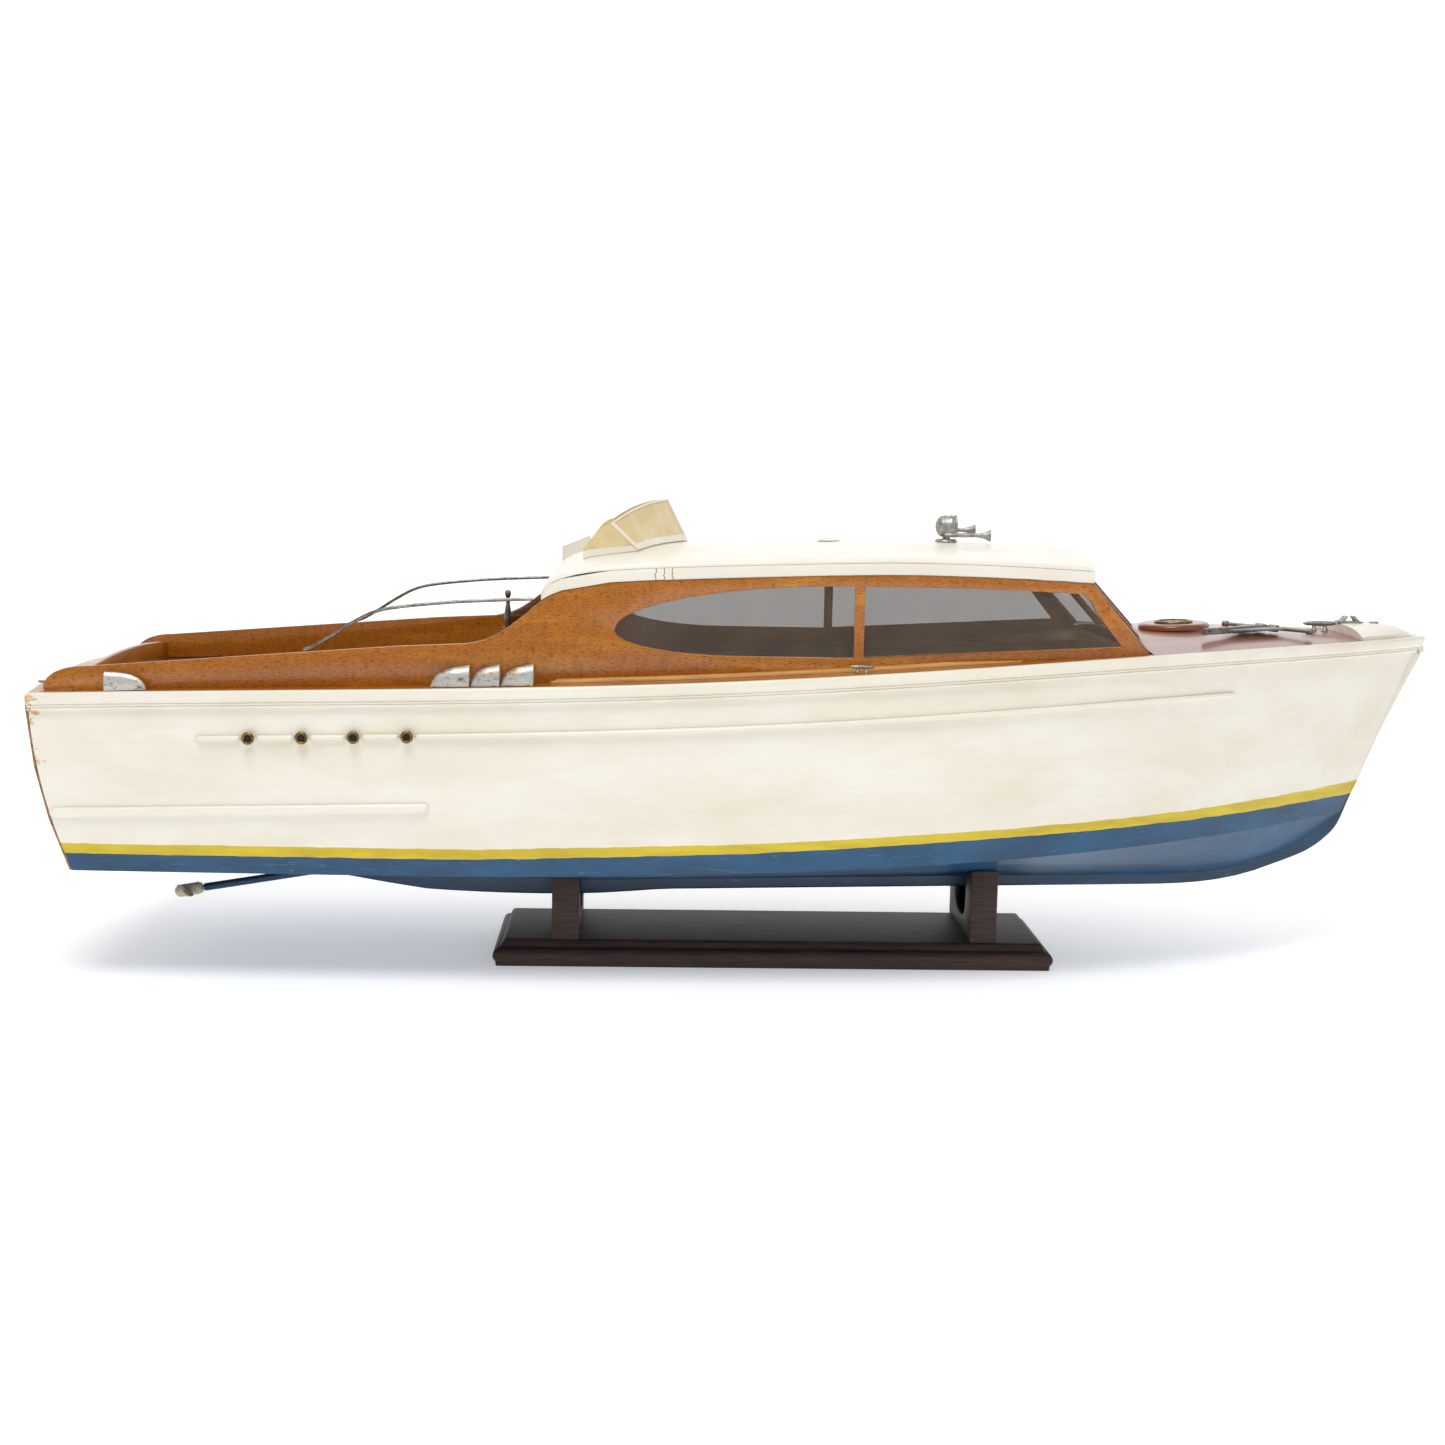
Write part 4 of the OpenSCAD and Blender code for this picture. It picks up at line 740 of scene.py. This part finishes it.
def eyeletTree():
    tree, given, result = treeFor("eyeletRow", [
        ("Ring", "NodeSocketFloat", 0.003), ("Lip", "NodeSocketFloat", 0.0007),
        ("Turn", "NodeSocketVector", (0, 0, 0))])
    ringSize, lipSize = given.outputs["Ring"], given.outputs["Lip"]
    path = put(tree, "GeometryNodeCurvePrimitiveCircle", {"Resolution": 40, "Radius": ringSize})
    lip = put(tree, "GeometryNodeCurvePrimitiveCircle", {"Resolution": 12, "Radius": lipSize})
    ring = put(tree, "GeometryNodeCurveToMesh",
               {"Curve": path.outputs[0], "Profile Curve": lip.outputs[0]})
    sleeve = put(tree, "GeometryNodeMeshCylinder",
                 {"Vertices": 40, "Radius": ringSize, "Depth": eyelets["sleeve"] * mm})
    sunk = put(tree, "GeometryNodeTransform",
               {"Geometry": sleeve.outputs["Mesh"], "Translation": (0, 0, eyelets["sunk"] * mm)})
    both = put(tree, "GeometryNodeJoinGeometry")
    tree.links.new(ring.outputs[0], both.inputs[0])
    tree.links.new(sunk.outputs[0], both.inputs[0])
    turn = put(tree, "FunctionNodeEulerToRotation", {"Euler": given.outputs["Turn"]})
    row = put(tree, "GeometryNodeInstanceOnPoints",
              {"Points": given.outputs[0], "Instance": both.outputs[0], "Rotation": turn.outputs[0]})
    finishTree(tree, result, row.outputs[0], looks["brass"])
    return tree


eyeletRow = eyeletTree()
spots = []
for x in spray["eyelets"]:
    skinPoint = onSide(x, sprayTop(x) + eyelets["rise"])[0]
    spots.append(skinPoint + Vector((0, eyelets["standOff"], 0)))
for name, side in (("eyeletsPort", 1), ("eyeletsStarboard", -1)):
    sizes = {"Ring": eyelets["ring"] * mm, "Lip": eyelets["lip"] * mm,
             "Turn": (-side * math.pi / 2, 0, 0)}
    runTree(name, [(p.x, side * p.y, p.z) for p in spots], [], eyeletRow, sizes, looks["brass"], "hull",
            ["exhaust_eyelets"] if side == 1 else ())
# near-black discs across the eyelets' mouths: painted shade for the dark inside of each bore
boreShades = []
for p in spots:
    place = Matrix.Translation(p) @ Matrix.Rotation(-math.pi / 2, 4, "X")
    boreShades.append(lathe([(0, -0.1), (2.1, -0.1), (2.1, 0.12), (0, 0.12)], place, 32))
makePiece("eyeletBoreShade", boreShades + [mirrored(b) for b in boreShades], looks["dark"], "hull")

handrail = {"wire": 1.0, "side": 101.25,
            "path": [(-272, 203.7), (-267, 205.6), (-258, 211), (-243, 220.5), (-231, 226.5),
                     (-216, 229.8), (-186, 233), (-160, 234.6), (-139, 235.6)]}
railTree, given, result = treeFor("bentWire", [("Radius", "NodeSocketFloat", 0.001)])
wirePath = put(railTree, "GeometryNodeMeshToCurve", {"Mesh": given.outputs[0]})
wireRound = put(railTree, "GeometryNodeCurvePrimitiveCircle",
                {"Resolution": 14, "Radius": given.outputs["Radius"]})
wireBody = put(railTree, "GeometryNodeCurveToMesh",
               {"Curve": wirePath.outputs[0], "Profile Curve": wireRound.outputs[0], "Fill Caps": True})
finishTree(railTree, result, wireBody.outputs[0], looks["nickel"])
for name, side in (("handrailPort", 1), ("handrailStarboard", -1)):
    path = smoothPath([(x, side * handrail["side"], z) for x, z in handrail["path"]], 6)
    runTree(name, path, [(i, i + 1) for i in range(len(path) - 1)], railTree,
            {"Radius": handrail["wire"] * mm}, looks["nickel"], "hull",
            ["handrails"] if side == 1 else ())
print("rails, eyelets and handrails done")


# bow block and decks

decks = {"blockX": halfL - 57, "blockRise": 7.5, "wellX": 27 - halfL, "screenX": 228, "cabinHalf": 102.5}


def blockY(x):
    return sheerY(x) if x < sheerX1 else keelY - 2 * (x - sheerX1) / (halfL - sheerX1)


def blockTop(x):
    u = max(0, (x - decks["blockX"] - 22) / (halfL - decks["blockX"] - 22))
    return sheerZ(x) + decks["blockRise"] - (decks["blockRise"] + 7) * u ** 2.4


def bowBlock():
    sections = []
    for s in share(44):
        x = decks["blockX"] + (halfL - 0.2 - decks["blockX"]) * s
        w = blockY(x)
        low = sheerZ(x) - hull["deck"] + 0.15 if x < sheerX1 + 0.2 else keelSizes["nose"]
        across = [-1 + k / 9 for k in range(19)]
        high = blockTop(x)
        aftEase = 0.6 * (s < 0.02)
        sections.append(([(x, k * w, low) for k in across],
                         [(x, k * w, high - (high - low) * (0.55 * abs(k) ** 3.5) - aftEase)
                          for k in across]))
    return sheetLoft(sections)


makePiece("bowBlock", [bowBlock()], looks["white"], "hull", ["bow_block"], 50)


def camberedDeck(x0, x1, count):
    sections = []
    for s in share(count):
        x = x0 + (x1 - x0) * s
        w, z = sheerY(x), sheerZ(x)
        across = [-1 + k / 10 for k in range(21)]
        sections.append(([(x, k * w, z - hull["deck"] + deckRise(x, k * w)) for k in across],
                         [(x, k * w, z + deckRise(x, k * w)) for k in across]))
    return sheetLoft(sections)


def sideDeck():
    sections = []
    for s in share(120):
        x = decks["wellX"] + (decks["screenX"] - 0.15 - decks["wellX"]) * s
        w, z, inner = sheerY(x), sheerZ(x), decks["cabinHalf"] + 0.15
        sections.append(([(x, inner, z - hull["deck"]), (x, w, z - hull["deck"])],
                         [(x, inner, z), (x, w, z)]))
    return sheetLoft(sections)


makePiece("foredeck", [camberedDeck(decks["screenX"], decks["blockX"] - 0.15, 40)], looks["redMahogany"],
          "hull", ["foredeck"])
makePiece("aftDeck", [camberedDeck(sheerX0, decks["wellX"] - 0.15, 8)], looks["mahogany"], "hull",
          ["aft_deck"])
deckStrip = sideDeck()
makePiece("sideDecks", [deckStrip, mirrored(deckStrip)], looks["mahogany"], "hull",
          ["side_decks"])

footBead = {"from": -128, "to": 150, "size": 2.4,
            "profile": [(0, 0), (1, 0), (0.92, 0.38), (0.7, 0.7), (0.38, 0.92), (0, 1)]}


def cabinFoot():
    rings = []
    for s in share(60):
        x = footBead["from"] + (footBead["to"] - footBead["from"]) * s
        z, y = sheerZ(x) + 0.1, decks["cabinHalf"] + 0.1
        r = footBead["size"] * min(1, 0.25 + (footBead["to"] - x) / 60, 0.3 + (x - footBead["from"]) / 6)
        rings.append([(x, y + r * out, z + r * high) for out, high in footBead["profile"]])
    return ringLoft(rings)


foot = cabinFoot()
makePiece("cabinFootBeads", [foot, mirrored(foot)], looks["paleWood"], "hull", (), 50)
print("decks done")


# roof

roof = {"aft": -134, "fwd": 188, "peak": 80, "z": 253.5, "thick": 2.5, "edge": 7, "camber": 6,
        "half": 103.3}


def roofLow(x):
    if x < roof["peak"]:
        u = (roof["peak"] - x) / (roof["peak"] - roof["aft"])
        return roof["z"] - 9 * u ** 1.3 - 9.5 * u ** 14
    return roof["z"] - 2.9 * ((x - roof["peak"]) / 108) ** 2


def edgeHigh(x):
    return roof["edge"] * math.sqrt(max(0, 1 - (1 - min(1, (x - roof["aft"] + 0.5) / 9)) ** 2))


def crown(x, y):
    return ((roof["camber"] + 3 * max(0, 1 - abs(x + 70) / 60)) * (1 - (y / roof["half"]) ** 2)
            * min(1, 0.35 + (x - roof["aft"]) / 40))


def bowed(x, y):
    return x + 15 * (1 - abs(y) / roof["half"]) * max(0, (x - 100) / (roof["fwd"] - 97)) ** 2


def roofTop(x, y):
    return roofLow(x) + edgeHigh(x) + crown(x, y) + roof["thick"]


def roofSkin():
    stations = [roof["aft"] + d for d in (0, 0.4, 0.8, 1.6, 2.5, 4, 6, 9, 12)]
    stations += [roof["aft"] + 12 + (roof["fwd"] + 3 - roof["aft"] - 12) * s for s in share(70)[1:]]
    across = [-roof["half"] * (1 - e) for e in (0, 0.004, 0.012)]
    across += [roof["half"] * k / 14 for k in range(-13, 14)]
    across += [roof["half"] * (1 - e) for e in (0.012, 0.004, 0)]
    drop = {0: 1.5, 1: 0.5, 2: 0.12}  # the eased long edges
    sections = []
    for x in stations:
        z = roofLow(x) + edgeHigh(x)
        last = len(across) - 1
        foreEase = 1.7 * max(0, (x - stations[-1] + 12) / 12) ** 2
        under, over = [], []
        for i, y in enumerate(across):
            rise = z + crown(x, y)
            under.append((bowed(x, y), y, rise + 0.02))
            over.append((bowed(x, y), y, rise + roof["thick"] - drop.get(min(i, last - i), 0) - foreEase))
        sections.append((under, over))
    return sheetLoft(sections)


makePiece("roofSkin", [roofSkin()], looks["white"], "roof", ["roof"], 40)
softenedCopy("roof_moulding", looks["crackedWhite"], "roofMoulding", 1.3, 3, sharp=30,
             flat=0.1)

disc = {"x": 42.5, "profile": [(0, 0), (7.4, 0), (7.4, 0.5), (7.0, 0.9), (5.4, 1.3), (5.2, 1.1), (3, 1.5),
                               (0, 1.8)]}
discPlace = Matrix.Translation((disc["x"], 0, roofTop(disc["x"], 0) + 0.3))
makePiece("roofDisc", [lathe(disc["profile"], discPlace, 40)], looks["white"], "roof",
          ["roof_disc"])

helm = {"wingX": -111, "postX": -79, "prowX": -48, "y": 62, "sheet": 0.7, "strip": 1.3,
        "baseHigh": 4.2, "topStrip": 1.1, "boardX": -111.2, "boardLong": 18.6, "boardY": 66}


def helmTop(f):
    # the windscreen's upper edge, from the corner post at 0 to the centreline at 1
    return Vector((-95.5 + 34.5 * f, 60 * (1 - f), 278.1 + 14.2 * (1 - (1 - f) ** 1.9)))


def helmFoot(f):
    x, y = helm["postX"] + (helm["prowX"] - helm["postX"]) * f, helm["y"] * (1 - f)
    return Vector((x, y, roofTop(x, y) + 0.35))


def wingFoot(f):
    x = helm["postX"] + (helm["wingX"] - helm["postX"]) * f
    y = helm["y"] + 4 * f
    return Vector((x, y, roofTop(x, y) + 0.35))


def wingTop(f):
    end = Vector((helm["wingX"], helm["y"] + 2, roofTop(helm["wingX"], helm["y"]) + 5.5))
    middle = helmTop(0).lerp(end, f)
    return middle + Vector((0, 0, 4 * math.sin(math.pi * f) * (1 - 0.4 * f)))


def curvedSheet(low, high, thick, count=20, rows=6, out=0.0):
    sections = []
    for f in share(count):
        a, b = low(f), high(f)
        side = (low(min(1, f + 0.02)) - low(max(0, f - 0.02))).normalized()
        n = side.cross((b - a).normalized()).normalized()
        n = n if n.x + n.y * 0.3 > 0 else -n
        row = [a.lerp(b, k) + n * out for k in share(rows)]
        sections.append((row, [p + n * thick for p in row]))
    return sheetLoft(sections)


def towards(start, end, width):
    # the line that runs a width in from one edge of a panel towards its other edge
    return lambda f: start(f) + (end(f) - start(f)).normalized() * width


front = curvedSheet(helmFoot, helmTop, helm["sheet"])
wing = curvedSheet(wingFoot, wingTop, helm["sheet"])
makePiece("helmSheets", [front, mirrored(front), wing, mirrored(wing)], looks["celluloid"], "roof",
          ["bridge_windscreen"], 50)
baseStrips = [curvedSheet(low, towards(low, high, helm["baseHigh"]), helm["strip"], out=0.1)
              for low, high in ((helmFoot, helmTop), (wingFoot, wingTop))]
topStrip = curvedSheet(towards(helmTop, helmFoot, helm["topStrip"]), helmTop, helm["topStrip"], out=0.1)
post = curvedSheet(lambda f: helmFoot(0.045 * f), lambda f: helmTop(0.03 * f), 1.5, 4, 6, out=0.25)
centre = curvedSheet(lambda f: helmFoot(1 - 0.02 * f), lambda f: helmTop(1 - 0.02 * f), 1.2, 3, 6,
                     out=0.2)
strips = baseStrips + [topStrip, post, centre]
makePiece("helmStrips", strips + [mirrored(p) for p in strips], looks["white"], "roof",
          (), 50)


def boardFoot(f):
    x = helm["boardX"] - helm["boardLong"] * f
    return Vector((x, helm["boardY"], roofTop(x, helm["boardY"]) + 0.4))


def boardTop(f):
    return Vector((helm["boardX"] - helm["boardLong"] * f, helm["boardY"], 266.4 - 7.8 * f))


board = curvedSheet(boardFoot, boardTop, 1.0, 6, 3)
makePiece("helmBoard", [board], looks["white"], "roof")
print("roof and helm done")


# cabin and stand: the CAD pieces with their edges eased

for node, name in (("cabin_side_port", "cabinSidePort"), ("cabin_side_starboard", "cabinSideStarboard")):
    softenedCopy(node, looks["mahogany"], name, 0.35, 2, looks["plyEdge"], 1)
# CAD node, look, slot, name, easing in mm and its steps
for node, look, slot, name, width, segments in (
        ("stern_coaming", "mahogany", "mahogany", "sternCoaming", 0.6, 2),
        ("swoop_doublers", "stripedMahogany", "dark_mahogany", "swoopDoublers", 0.5, 2),
        ("cabin_bulkhead", "redMahogany", "mahogany", "cabinBulkhead", 0.4, 2),
        ("windshield_frame", "redMahogany", "mahogany", "windshieldFrame", 0.5, 2),
        ("cockpit_floor", "redMahogany", "mahogany", "cockpitFloor", 0.3, 1),
        ("lever_base", "redMahogany", "mahogany", "leverStand", 0.5, 2),
        ("side_glazing", "window", "tinted_acetate", "sideGlazing", 0, 2),
        ("windshield_panes", "window", "tinted_acetate", "windshieldPanes", 0, 2),
        ("transom", "topside", "white_paint", "transomPanel", 0.3, 1),
        ("transom_veneer", "veneer", "bare_ply", "transomVeneer", 0.4, 2),
        ("stand_base", "walnut", "dark_walnut", "standBase", 0.9, 3),
        ("cradle_aft", "walnut", "dark_walnut", "cradleAft", 0.7, 2),
        ("cradle_fore", "walnut", "dark_walnut", "cradleFore", 0.7, 2)):
    softenedCopy(node, looks[look], name, width, segments)
paintLevel(bpy.data.objects["transomPanel"])
print("cabin and stand done")


# deck fittings

# each row: the mouth's station, its length along the boat (aft if negative), height and width
vents = {"rows": [(-385.5, 23.5, 10.5, 6.5), (-174.5, -22.5, 11.5, 10), (-157, -17, 11.5, 10),
                  (-137.5, -19, 11.5, 10)], "wall": 0.8}


def cowl(x0, length, high, wide):
    middle = (sheerY(x0) + decks["cabinHalf"] + 1) / 2
    sections = []
    for s in share(14):
        f = math.sin(s * math.pi / 2)
        x = x0 + length * f
        z = sheerZ(x) + 0.3
        rise = max(1.0, high * math.sqrt(max(0, 1 - f ** 2.6)))
        half = wide / 2 * (1 - 0.45 * f * f)
        flare = 1 + 0.08 * max(0, 1 - s * 6)
        rows = []
        for shrink in (0, vents["wall"] * (1 if s < 0.93 else 0.4)):
            rows.append([(x, middle - (half * flare - shrink) * math.cos(a),
                          z + max(0.1, rise * flare - shrink) * math.sin(a) ** 0.7)
                         for a in [math.pi * k / 16 for k in range(17)]])
        sections.append(rows)
    return sheetLoft(sections)


cowls = [cowl(*row) for row in vents["rows"]]
makePiece("cowlVents", cowls + [mirrored(c) for c in cowls], looks["silver"], "hull",
          ["cowl_vents"], 50)


def hornCleat(x, y, z, length):
    # the bar and legs are shares of the cleat's length
    bar = [(0, 0), (0.035, 0.03), (0.06, 0.12), (0.07, 0.3), (0.08, 0.5), (0.07, 0.7), (0.06, 0.88),
           (0.035, 0.97), (0, 1)]
    place = Matrix.Translation((x - length / 2, y, z + 0.22 * length))
    place = place @ Matrix.Rotation(math.pi / 2, 4, "Y")
    parts = [lathe([(r * length, s * length) for r, s in bar], place, 20)]
    for side in (-0.17, 0.17):
        leg = [(0, 0), (0.10, 0), (0.10, 0.03), (0.055, 0.07), (0.05, 0.2), (0, 0.2)]
        parts.append(lathe([(r * length, s * length) for r, s in leg],
                           Matrix.Translation((x + side * length, y, z)), 20))
    return parts


cleatSpots = {"mid": 54, "bow": 363, "stern": -422, "sternY": 94}
midY = (decks["cabinHalf"] + sheerY(cleatSpots["mid"])) / 2
sternZ = sheerZ(cleatSpots["stern"]) + deckRise(cleatSpots["stern"], cleatSpots["sternY"])
sideCleats = (hornCleat(cleatSpots["mid"], midY, sheerZ(cleatSpots["mid"]) + 0.3, 15)
              + hornCleat(cleatSpots["stern"], cleatSpots["sternY"], sternZ + 0.3, 13))
bowZ = sheerZ(cleatSpots["bow"]) + deckRise(cleatSpots["bow"], 0)
bowCleat = hornCleat(cleatSpots["bow"], 0, bowZ + 0.2, 22)
makePiece("cleats", bowCleat + sideCleats + [mirrored(c) for c in sideCleats], looks["castMetal"], "hull",
          ["cleats"], 50)
softenedCopy("bow_chock", looks["castMetal"], "bowChock", 0.3, 2)

hatch = {"x": 267.5, "lift": 0.7,
         "ring": [(11, 0), (22.5, 0), (22.5, 1.6), (22.2, 2.4), (21.4, 3.1), (20.2, 3.4), (12, 3.4),
                  (11, 3.2)],
         "bezel": [(9.2, 3.5), (12.2, 3.5), (12.2, 3.9), (11.8, 4.5), (11.0, 4.8), (9.8, 4.7),
                   (9.2, 4.3)],
         "glass": [(0, 3.5), (9.15, 3.5), (9.15, 3.9), (6, 4.3), (3, 4.5), (0, 4.55)]}
hatchZ = sheerZ(hatch["x"]) + deckRise(hatch["x"], 0) + hatch["lift"]
deckTilt = -math.atan((sheerZ(hatch["x"] + 20) - sheerZ(hatch["x"] - 20)) / 40)
hatchPlace = Matrix.Translation((hatch["x"], 0, hatchZ)) @ Matrix.Rotation(deckTilt, 4, "Y")
makePiece("hatchRing", [lathe(hatch["ring"], hatchPlace, 72, True)], looks["redMahogany"], "hull",
          ["hatch_ring"])
makePiece("hatchBezel", [lathe(hatch["bezel"], hatchPlace, 72, True)], looks["brass"], "hull",
          ["hatch_bezel"])
makePiece("hatchGlass", [lathe(hatch["glass"], hatchPlace, 48)], looks["lens"], "hull")

softenedCopy("anchor_shank", looks["castMetal"], "anchorShank", 0.45, 3)
softenedCopy("anchor_flukes", looks["castMetal"], "anchorFlukes", 0.3, 2)

lever = {"x": -161, "z": 207}
leverPlace = Matrix.Translation((lever["x"], 0, lever["z"]))
acrossPlace = leverPlace @ Matrix.Rotation(math.pi / 2, 4, "X")
makePiece("leverArm", [
    lathe([(0, 0), (1.3, 0), (2.0, 3), (2.3, 7), (2.3, 11), (1.7, 15), (1.25, 18), (1.15, 21.5),
           (1.5, 22.5), (1.95, 23.5), (1.95, 24.8), (1.5, 26), (0.8, 26.5), (0, 26.6)], leverPlace, 32),
    lathe([(0, -2.5), (2.2, -2.5), (2.5, -2.2), (2.5, 2.2), (2.2, 2.5), (0, 2.5)], acrossPlace, 32),
    lathe([(0, -5.5), (0.95, -5.5), (0.95, 5.5), (0, 5.5)], acrossPlace, 20)],
    looks["nickel"], "lever", ["lever"], 50)

lamp = {"x": 118, "seat": 0.2, "hornY": 4.5, "postRound": 0.8}
lampZ = roofTop(lamp["x"], 0) + lamp["seat"]
lampBase = Matrix.Translation((lamp["x"], 0, lampZ))
lampAxis = lampBase @ Matrix.Translation((-2, 0, 10)) @ Matrix.Rotation(math.pi / 2, 4, "Y")
bowl = [(6.8 * math.sin(a), -5 * math.cos(a)) for a in [math.pi / 2 * k / 12 for k in range(13)]]
lampFoot = [(0, 0), (7, 0), (7, 0.8), (6.2, 1.8), (2.6, 2), (2, 3), (2, 6), (0, 6)]
lampRim = [(6.8, 4), (7.1, 4.4), (7.1, 5), (6.8, 5.4), (6.8, 6.5), (7.2, 6.8), (7.2, 8.2), (6.3, 8.2),
           (6.2, 7.0), (0, 7.0)]
lampParts = [lathe(lampFoot, lampBase, 40), lathe(bowl + lampRim, lampAxis, 40)]
for y, length, z in ((-lamp["hornY"], 27.5, 4.6), (lamp["hornY"], 19, 7.6)):
    hornPlace = lampBase @ Matrix.Translation((0, y, z)) @ Matrix.Rotation(math.pi / 2, 4, "Y")
    trumpet = [(0, -2), (1.0, -2), (1.4, -1.5), (1.4, 0.4 * length)]
    trumpet += [(r, length - back) for r, back in ((1.2, 9), (1.7, 5.5), (2.6, 2.4), (3.9, 0), (3.3, 0),
                                                   (1.9, 3), (0.9, 7), (0, 7))]
    lampParts.append(lathe(trumpet, hornPlace, 32))
for y in (-lamp["hornY"], lamp["hornY"]):
    post = [(lamp["x"], y, lampZ + rise) for rise in (0.6, 4, 6.5)]
    lampParts.append(tube(post, lamp["postRound"], 10))
makePiece("searchlight", lampParts, looks["castMetal"], "searchlight",
          ["searchlight"], 50)
lampGlass = [(0, 7.05), (6.15, 7.05), (6.1, 7.4), (4, 7.75), (0, 7.9)]
makePiece("searchlightGlass", [lathe(lampGlass, lampAxis, 32)], looks["lens"], "searchlight")
print("fittings done")


# propeller and inner gear

prop = {"x": 66 - halfL, "z": 36.3, "angle": 9.5, "d": 32, "rest": 80, "hub": 4, "thick": 1.3,
        "root": 2.2}
propPlace = (Matrix.Translation((prop["x"], 0, prop["z"]))
             @ Matrix.Rotation(math.radians(90 - prop["angle"]), 4, "Y")
             @ Matrix.Rotation(math.radians(prop["rest"]), 4, "Z"))


def blade(turn):
    # a thin round-tipped blade whose pitch eases from root to tip
    place = propPlace @ Matrix.Rotation(turn, 4, "Z")
    sections = []
    tip, widestR, widest = prop["d"] / 2 - 0.3, 9.4, 6.2
    for s in share(14):
        r = prop["root"] + (tip - prop["root"]) * math.sin(s * math.pi / 2)
        if r > widestR:
            chord = widest * math.sqrt(max(0.003, 1 - ((r - widestR) / (tip - widestR + 0.05)) ** 2))
        else:
            chord = 3 + 3.2 * math.sin(math.pi / 2 * (r - prop["root"]) / 7.2)
        pitch = math.radians(52 - 24 * s)
        rows = []
        for face in (-1, 1):
            row = []
            for k in share(8):
                c = (2 * k - 1) * chord
                swell = math.sqrt(max(0.02, 1 - (2 * k - 1) ** 2))
                half = prop["thick"] / 2 * swell * (1 - 0.5 * s) + 0.12
                row.append(place @ Vector((r, c * math.cos(pitch) - face * half * math.sin(pitch),
                                           c * math.sin(pitch) + face * half * math.cos(pitch))))
            rows.append(row)
        sections.append(rows)
    return sheetLoft(sections)


hubShape = [(prop["hub"] * math.sin(a), -5 - prop["hub"] * math.cos(a))
            for a in [math.pi / 2 * k / 8 for k in range(9)]]
hubShape += [(prop["hub"], 5), (3.9, 6.4), (3.4, 8.4), (3, 9), (0, 9)]
makePiece("propeller", [lathe(hubShape, propPlace, 40), blade(0), blade(math.pi)], looks["nylon"],
          "drive", ["propeller"], 50)

# CAD nodes shown as they are, each with its look
# the stern tube takes the darker copy of the blue: painted shade under the hull
kept = {"frames": "birch", "stringers": "birch", "motor_mount": "birch", "stern_tube": "shadedBlue",
        "shaft_bushes": "brass", "propeller_shaft": "steel", "shaft_coupling": "brass",
        "motor_spindle": "steel",
        "motor": "steel", "battery": "batteryWrap", "receiver": "blackPlastic", "servo": "blackPlastic",
        "servo_horn": "whitePlastic", "pushrod": "steel", "rudder_tube": "brass", "tiller": "brass"}
for node, lookName in kept.items():
    part = nodes[node]
    if not part.material_slots:
        part.data.materials.append(looks[lookName])
    for place in part.material_slots:
        place.material = looks[lookName]
print("propeller and inner gear done")


# floor, light and camera

room = {"floor": 14.0, "front": -7.0, "back": 1.6, "rise": 2.6, "bend": 0.9}


def sweepFloor():
    rows = [(room["front"], 0.0), (room["back"] - room["bend"], 0.0)]
    rows += [(room["back"] - room["bend"] + room["bend"] * math.sin(a), room["bend"] * (1 - math.cos(a)))
             for a in [math.pi / 2 * k / 12 for k in range(1, 13)]]
    rows.append((room["back"], room["rise"]))
    half = room["floor"] / 2
    points = [(x, y, z) for y, z in rows for x in (-half, half)]
    mesh = bpy.data.meshes.new("paleSweep")
    strips = [(2 * i, 2 * i + 1, 2 * i + 3, 2 * i + 2) for i in range(len(rows) - 1)]
    mesh.from_pydata(points, [], strips)
    mesh.shade_smooth()
    return linkPiece("paleSweep", mesh)


paper, paperTree, paperShader = newLook("palePaper", Roughness=0.9, Emission_Strength=0.34)
paperShader.inputs["Emission Color"].default_value = (1, 1, 1, 1)
paperTone = put(paperTree, "ShaderNodeValToRGB", {"Fac": grain(paperTree, (400, 400, 400), 2)},
                [(0.3, "#f4f4f5"), (0.7, "#fafafa")])
paperTree.links.new(paperTone.outputs["Color"], paperShader.inputs["Base Color"])
sweep = sweepFloor()
sweep.data.materials.append(paper)

# each light: name, place, aim, size in metres and power in watts
lights = [("key", (-0.35, -1.1, 2.1), (0.0, 0, 0.15), 0.9, 27),
          ("fill", (1.3, -1.5, 0.8), (0.1, 0, 0.15), 1.3, 3),
          ("top", (0.1, 0.25, 1.9), (0, 0.1, 0), 1.4, 5)]
for name, spot, aim, size, power in lights:
    lampData = bpy.data.lights.new(name, "AREA")
    lampData.size, lampData.energy = size, power
    lampObject = bpy.data.objects.new(name, lampData)
    lampObject.location = spot
    lampObject.rotation_euler = (Vector(aim) - Vector(spot)).to_track_quat("-Z", "Y").to_euler()
    bpy.context.scene.collection.objects.link(lampObject)
world = bpy.data.worlds.new("softRoom")
world.use_nodes = True
world.node_tree.nodes["Background"].inputs["Color"].default_value = linear("#f2f4f7")
world.node_tree.nodes["Background"].inputs["Strength"].default_value = 0.42
bpy.context.scene.world = world
bpy.context.scene.view_settings.view_transform = "Standard"

camera = {"lens": 47.34, "place": (-0.0685, -1.2136, 0.3194), "yaw": 2.16, "pitch": 7.93, "roll": 1.11}
yaw, pitch, roll = (math.radians(camera[k]) for k in ("yaw", "pitch", "roll"))
ahead = Vector((math.sin(yaw) * math.cos(pitch), math.cos(yaw) * math.cos(pitch), -math.sin(pitch)))
right = Vector((math.cos(yaw), -math.sin(yaw), 0))
up = right.cross(ahead)
turned = right * math.cos(roll) + up * math.sin(roll)
upward = up * math.cos(roll) - right * math.sin(roll)
cameraData = bpy.data.cameras.new("view")
cameraData.lens, cameraData.sensor_width = camera["lens"], 36
cameraObject = bpy.data.objects.new("view", cameraData)
aimed = Matrix((turned, upward, -ahead)).transposed().to_4x4()
cameraObject.matrix_world = Matrix.Translation(camera["place"]) @ aimed
bpy.context.scene.collection.objects.link(cameraObject)
bpy.context.scene.camera = cameraObject
print("room and camera done")
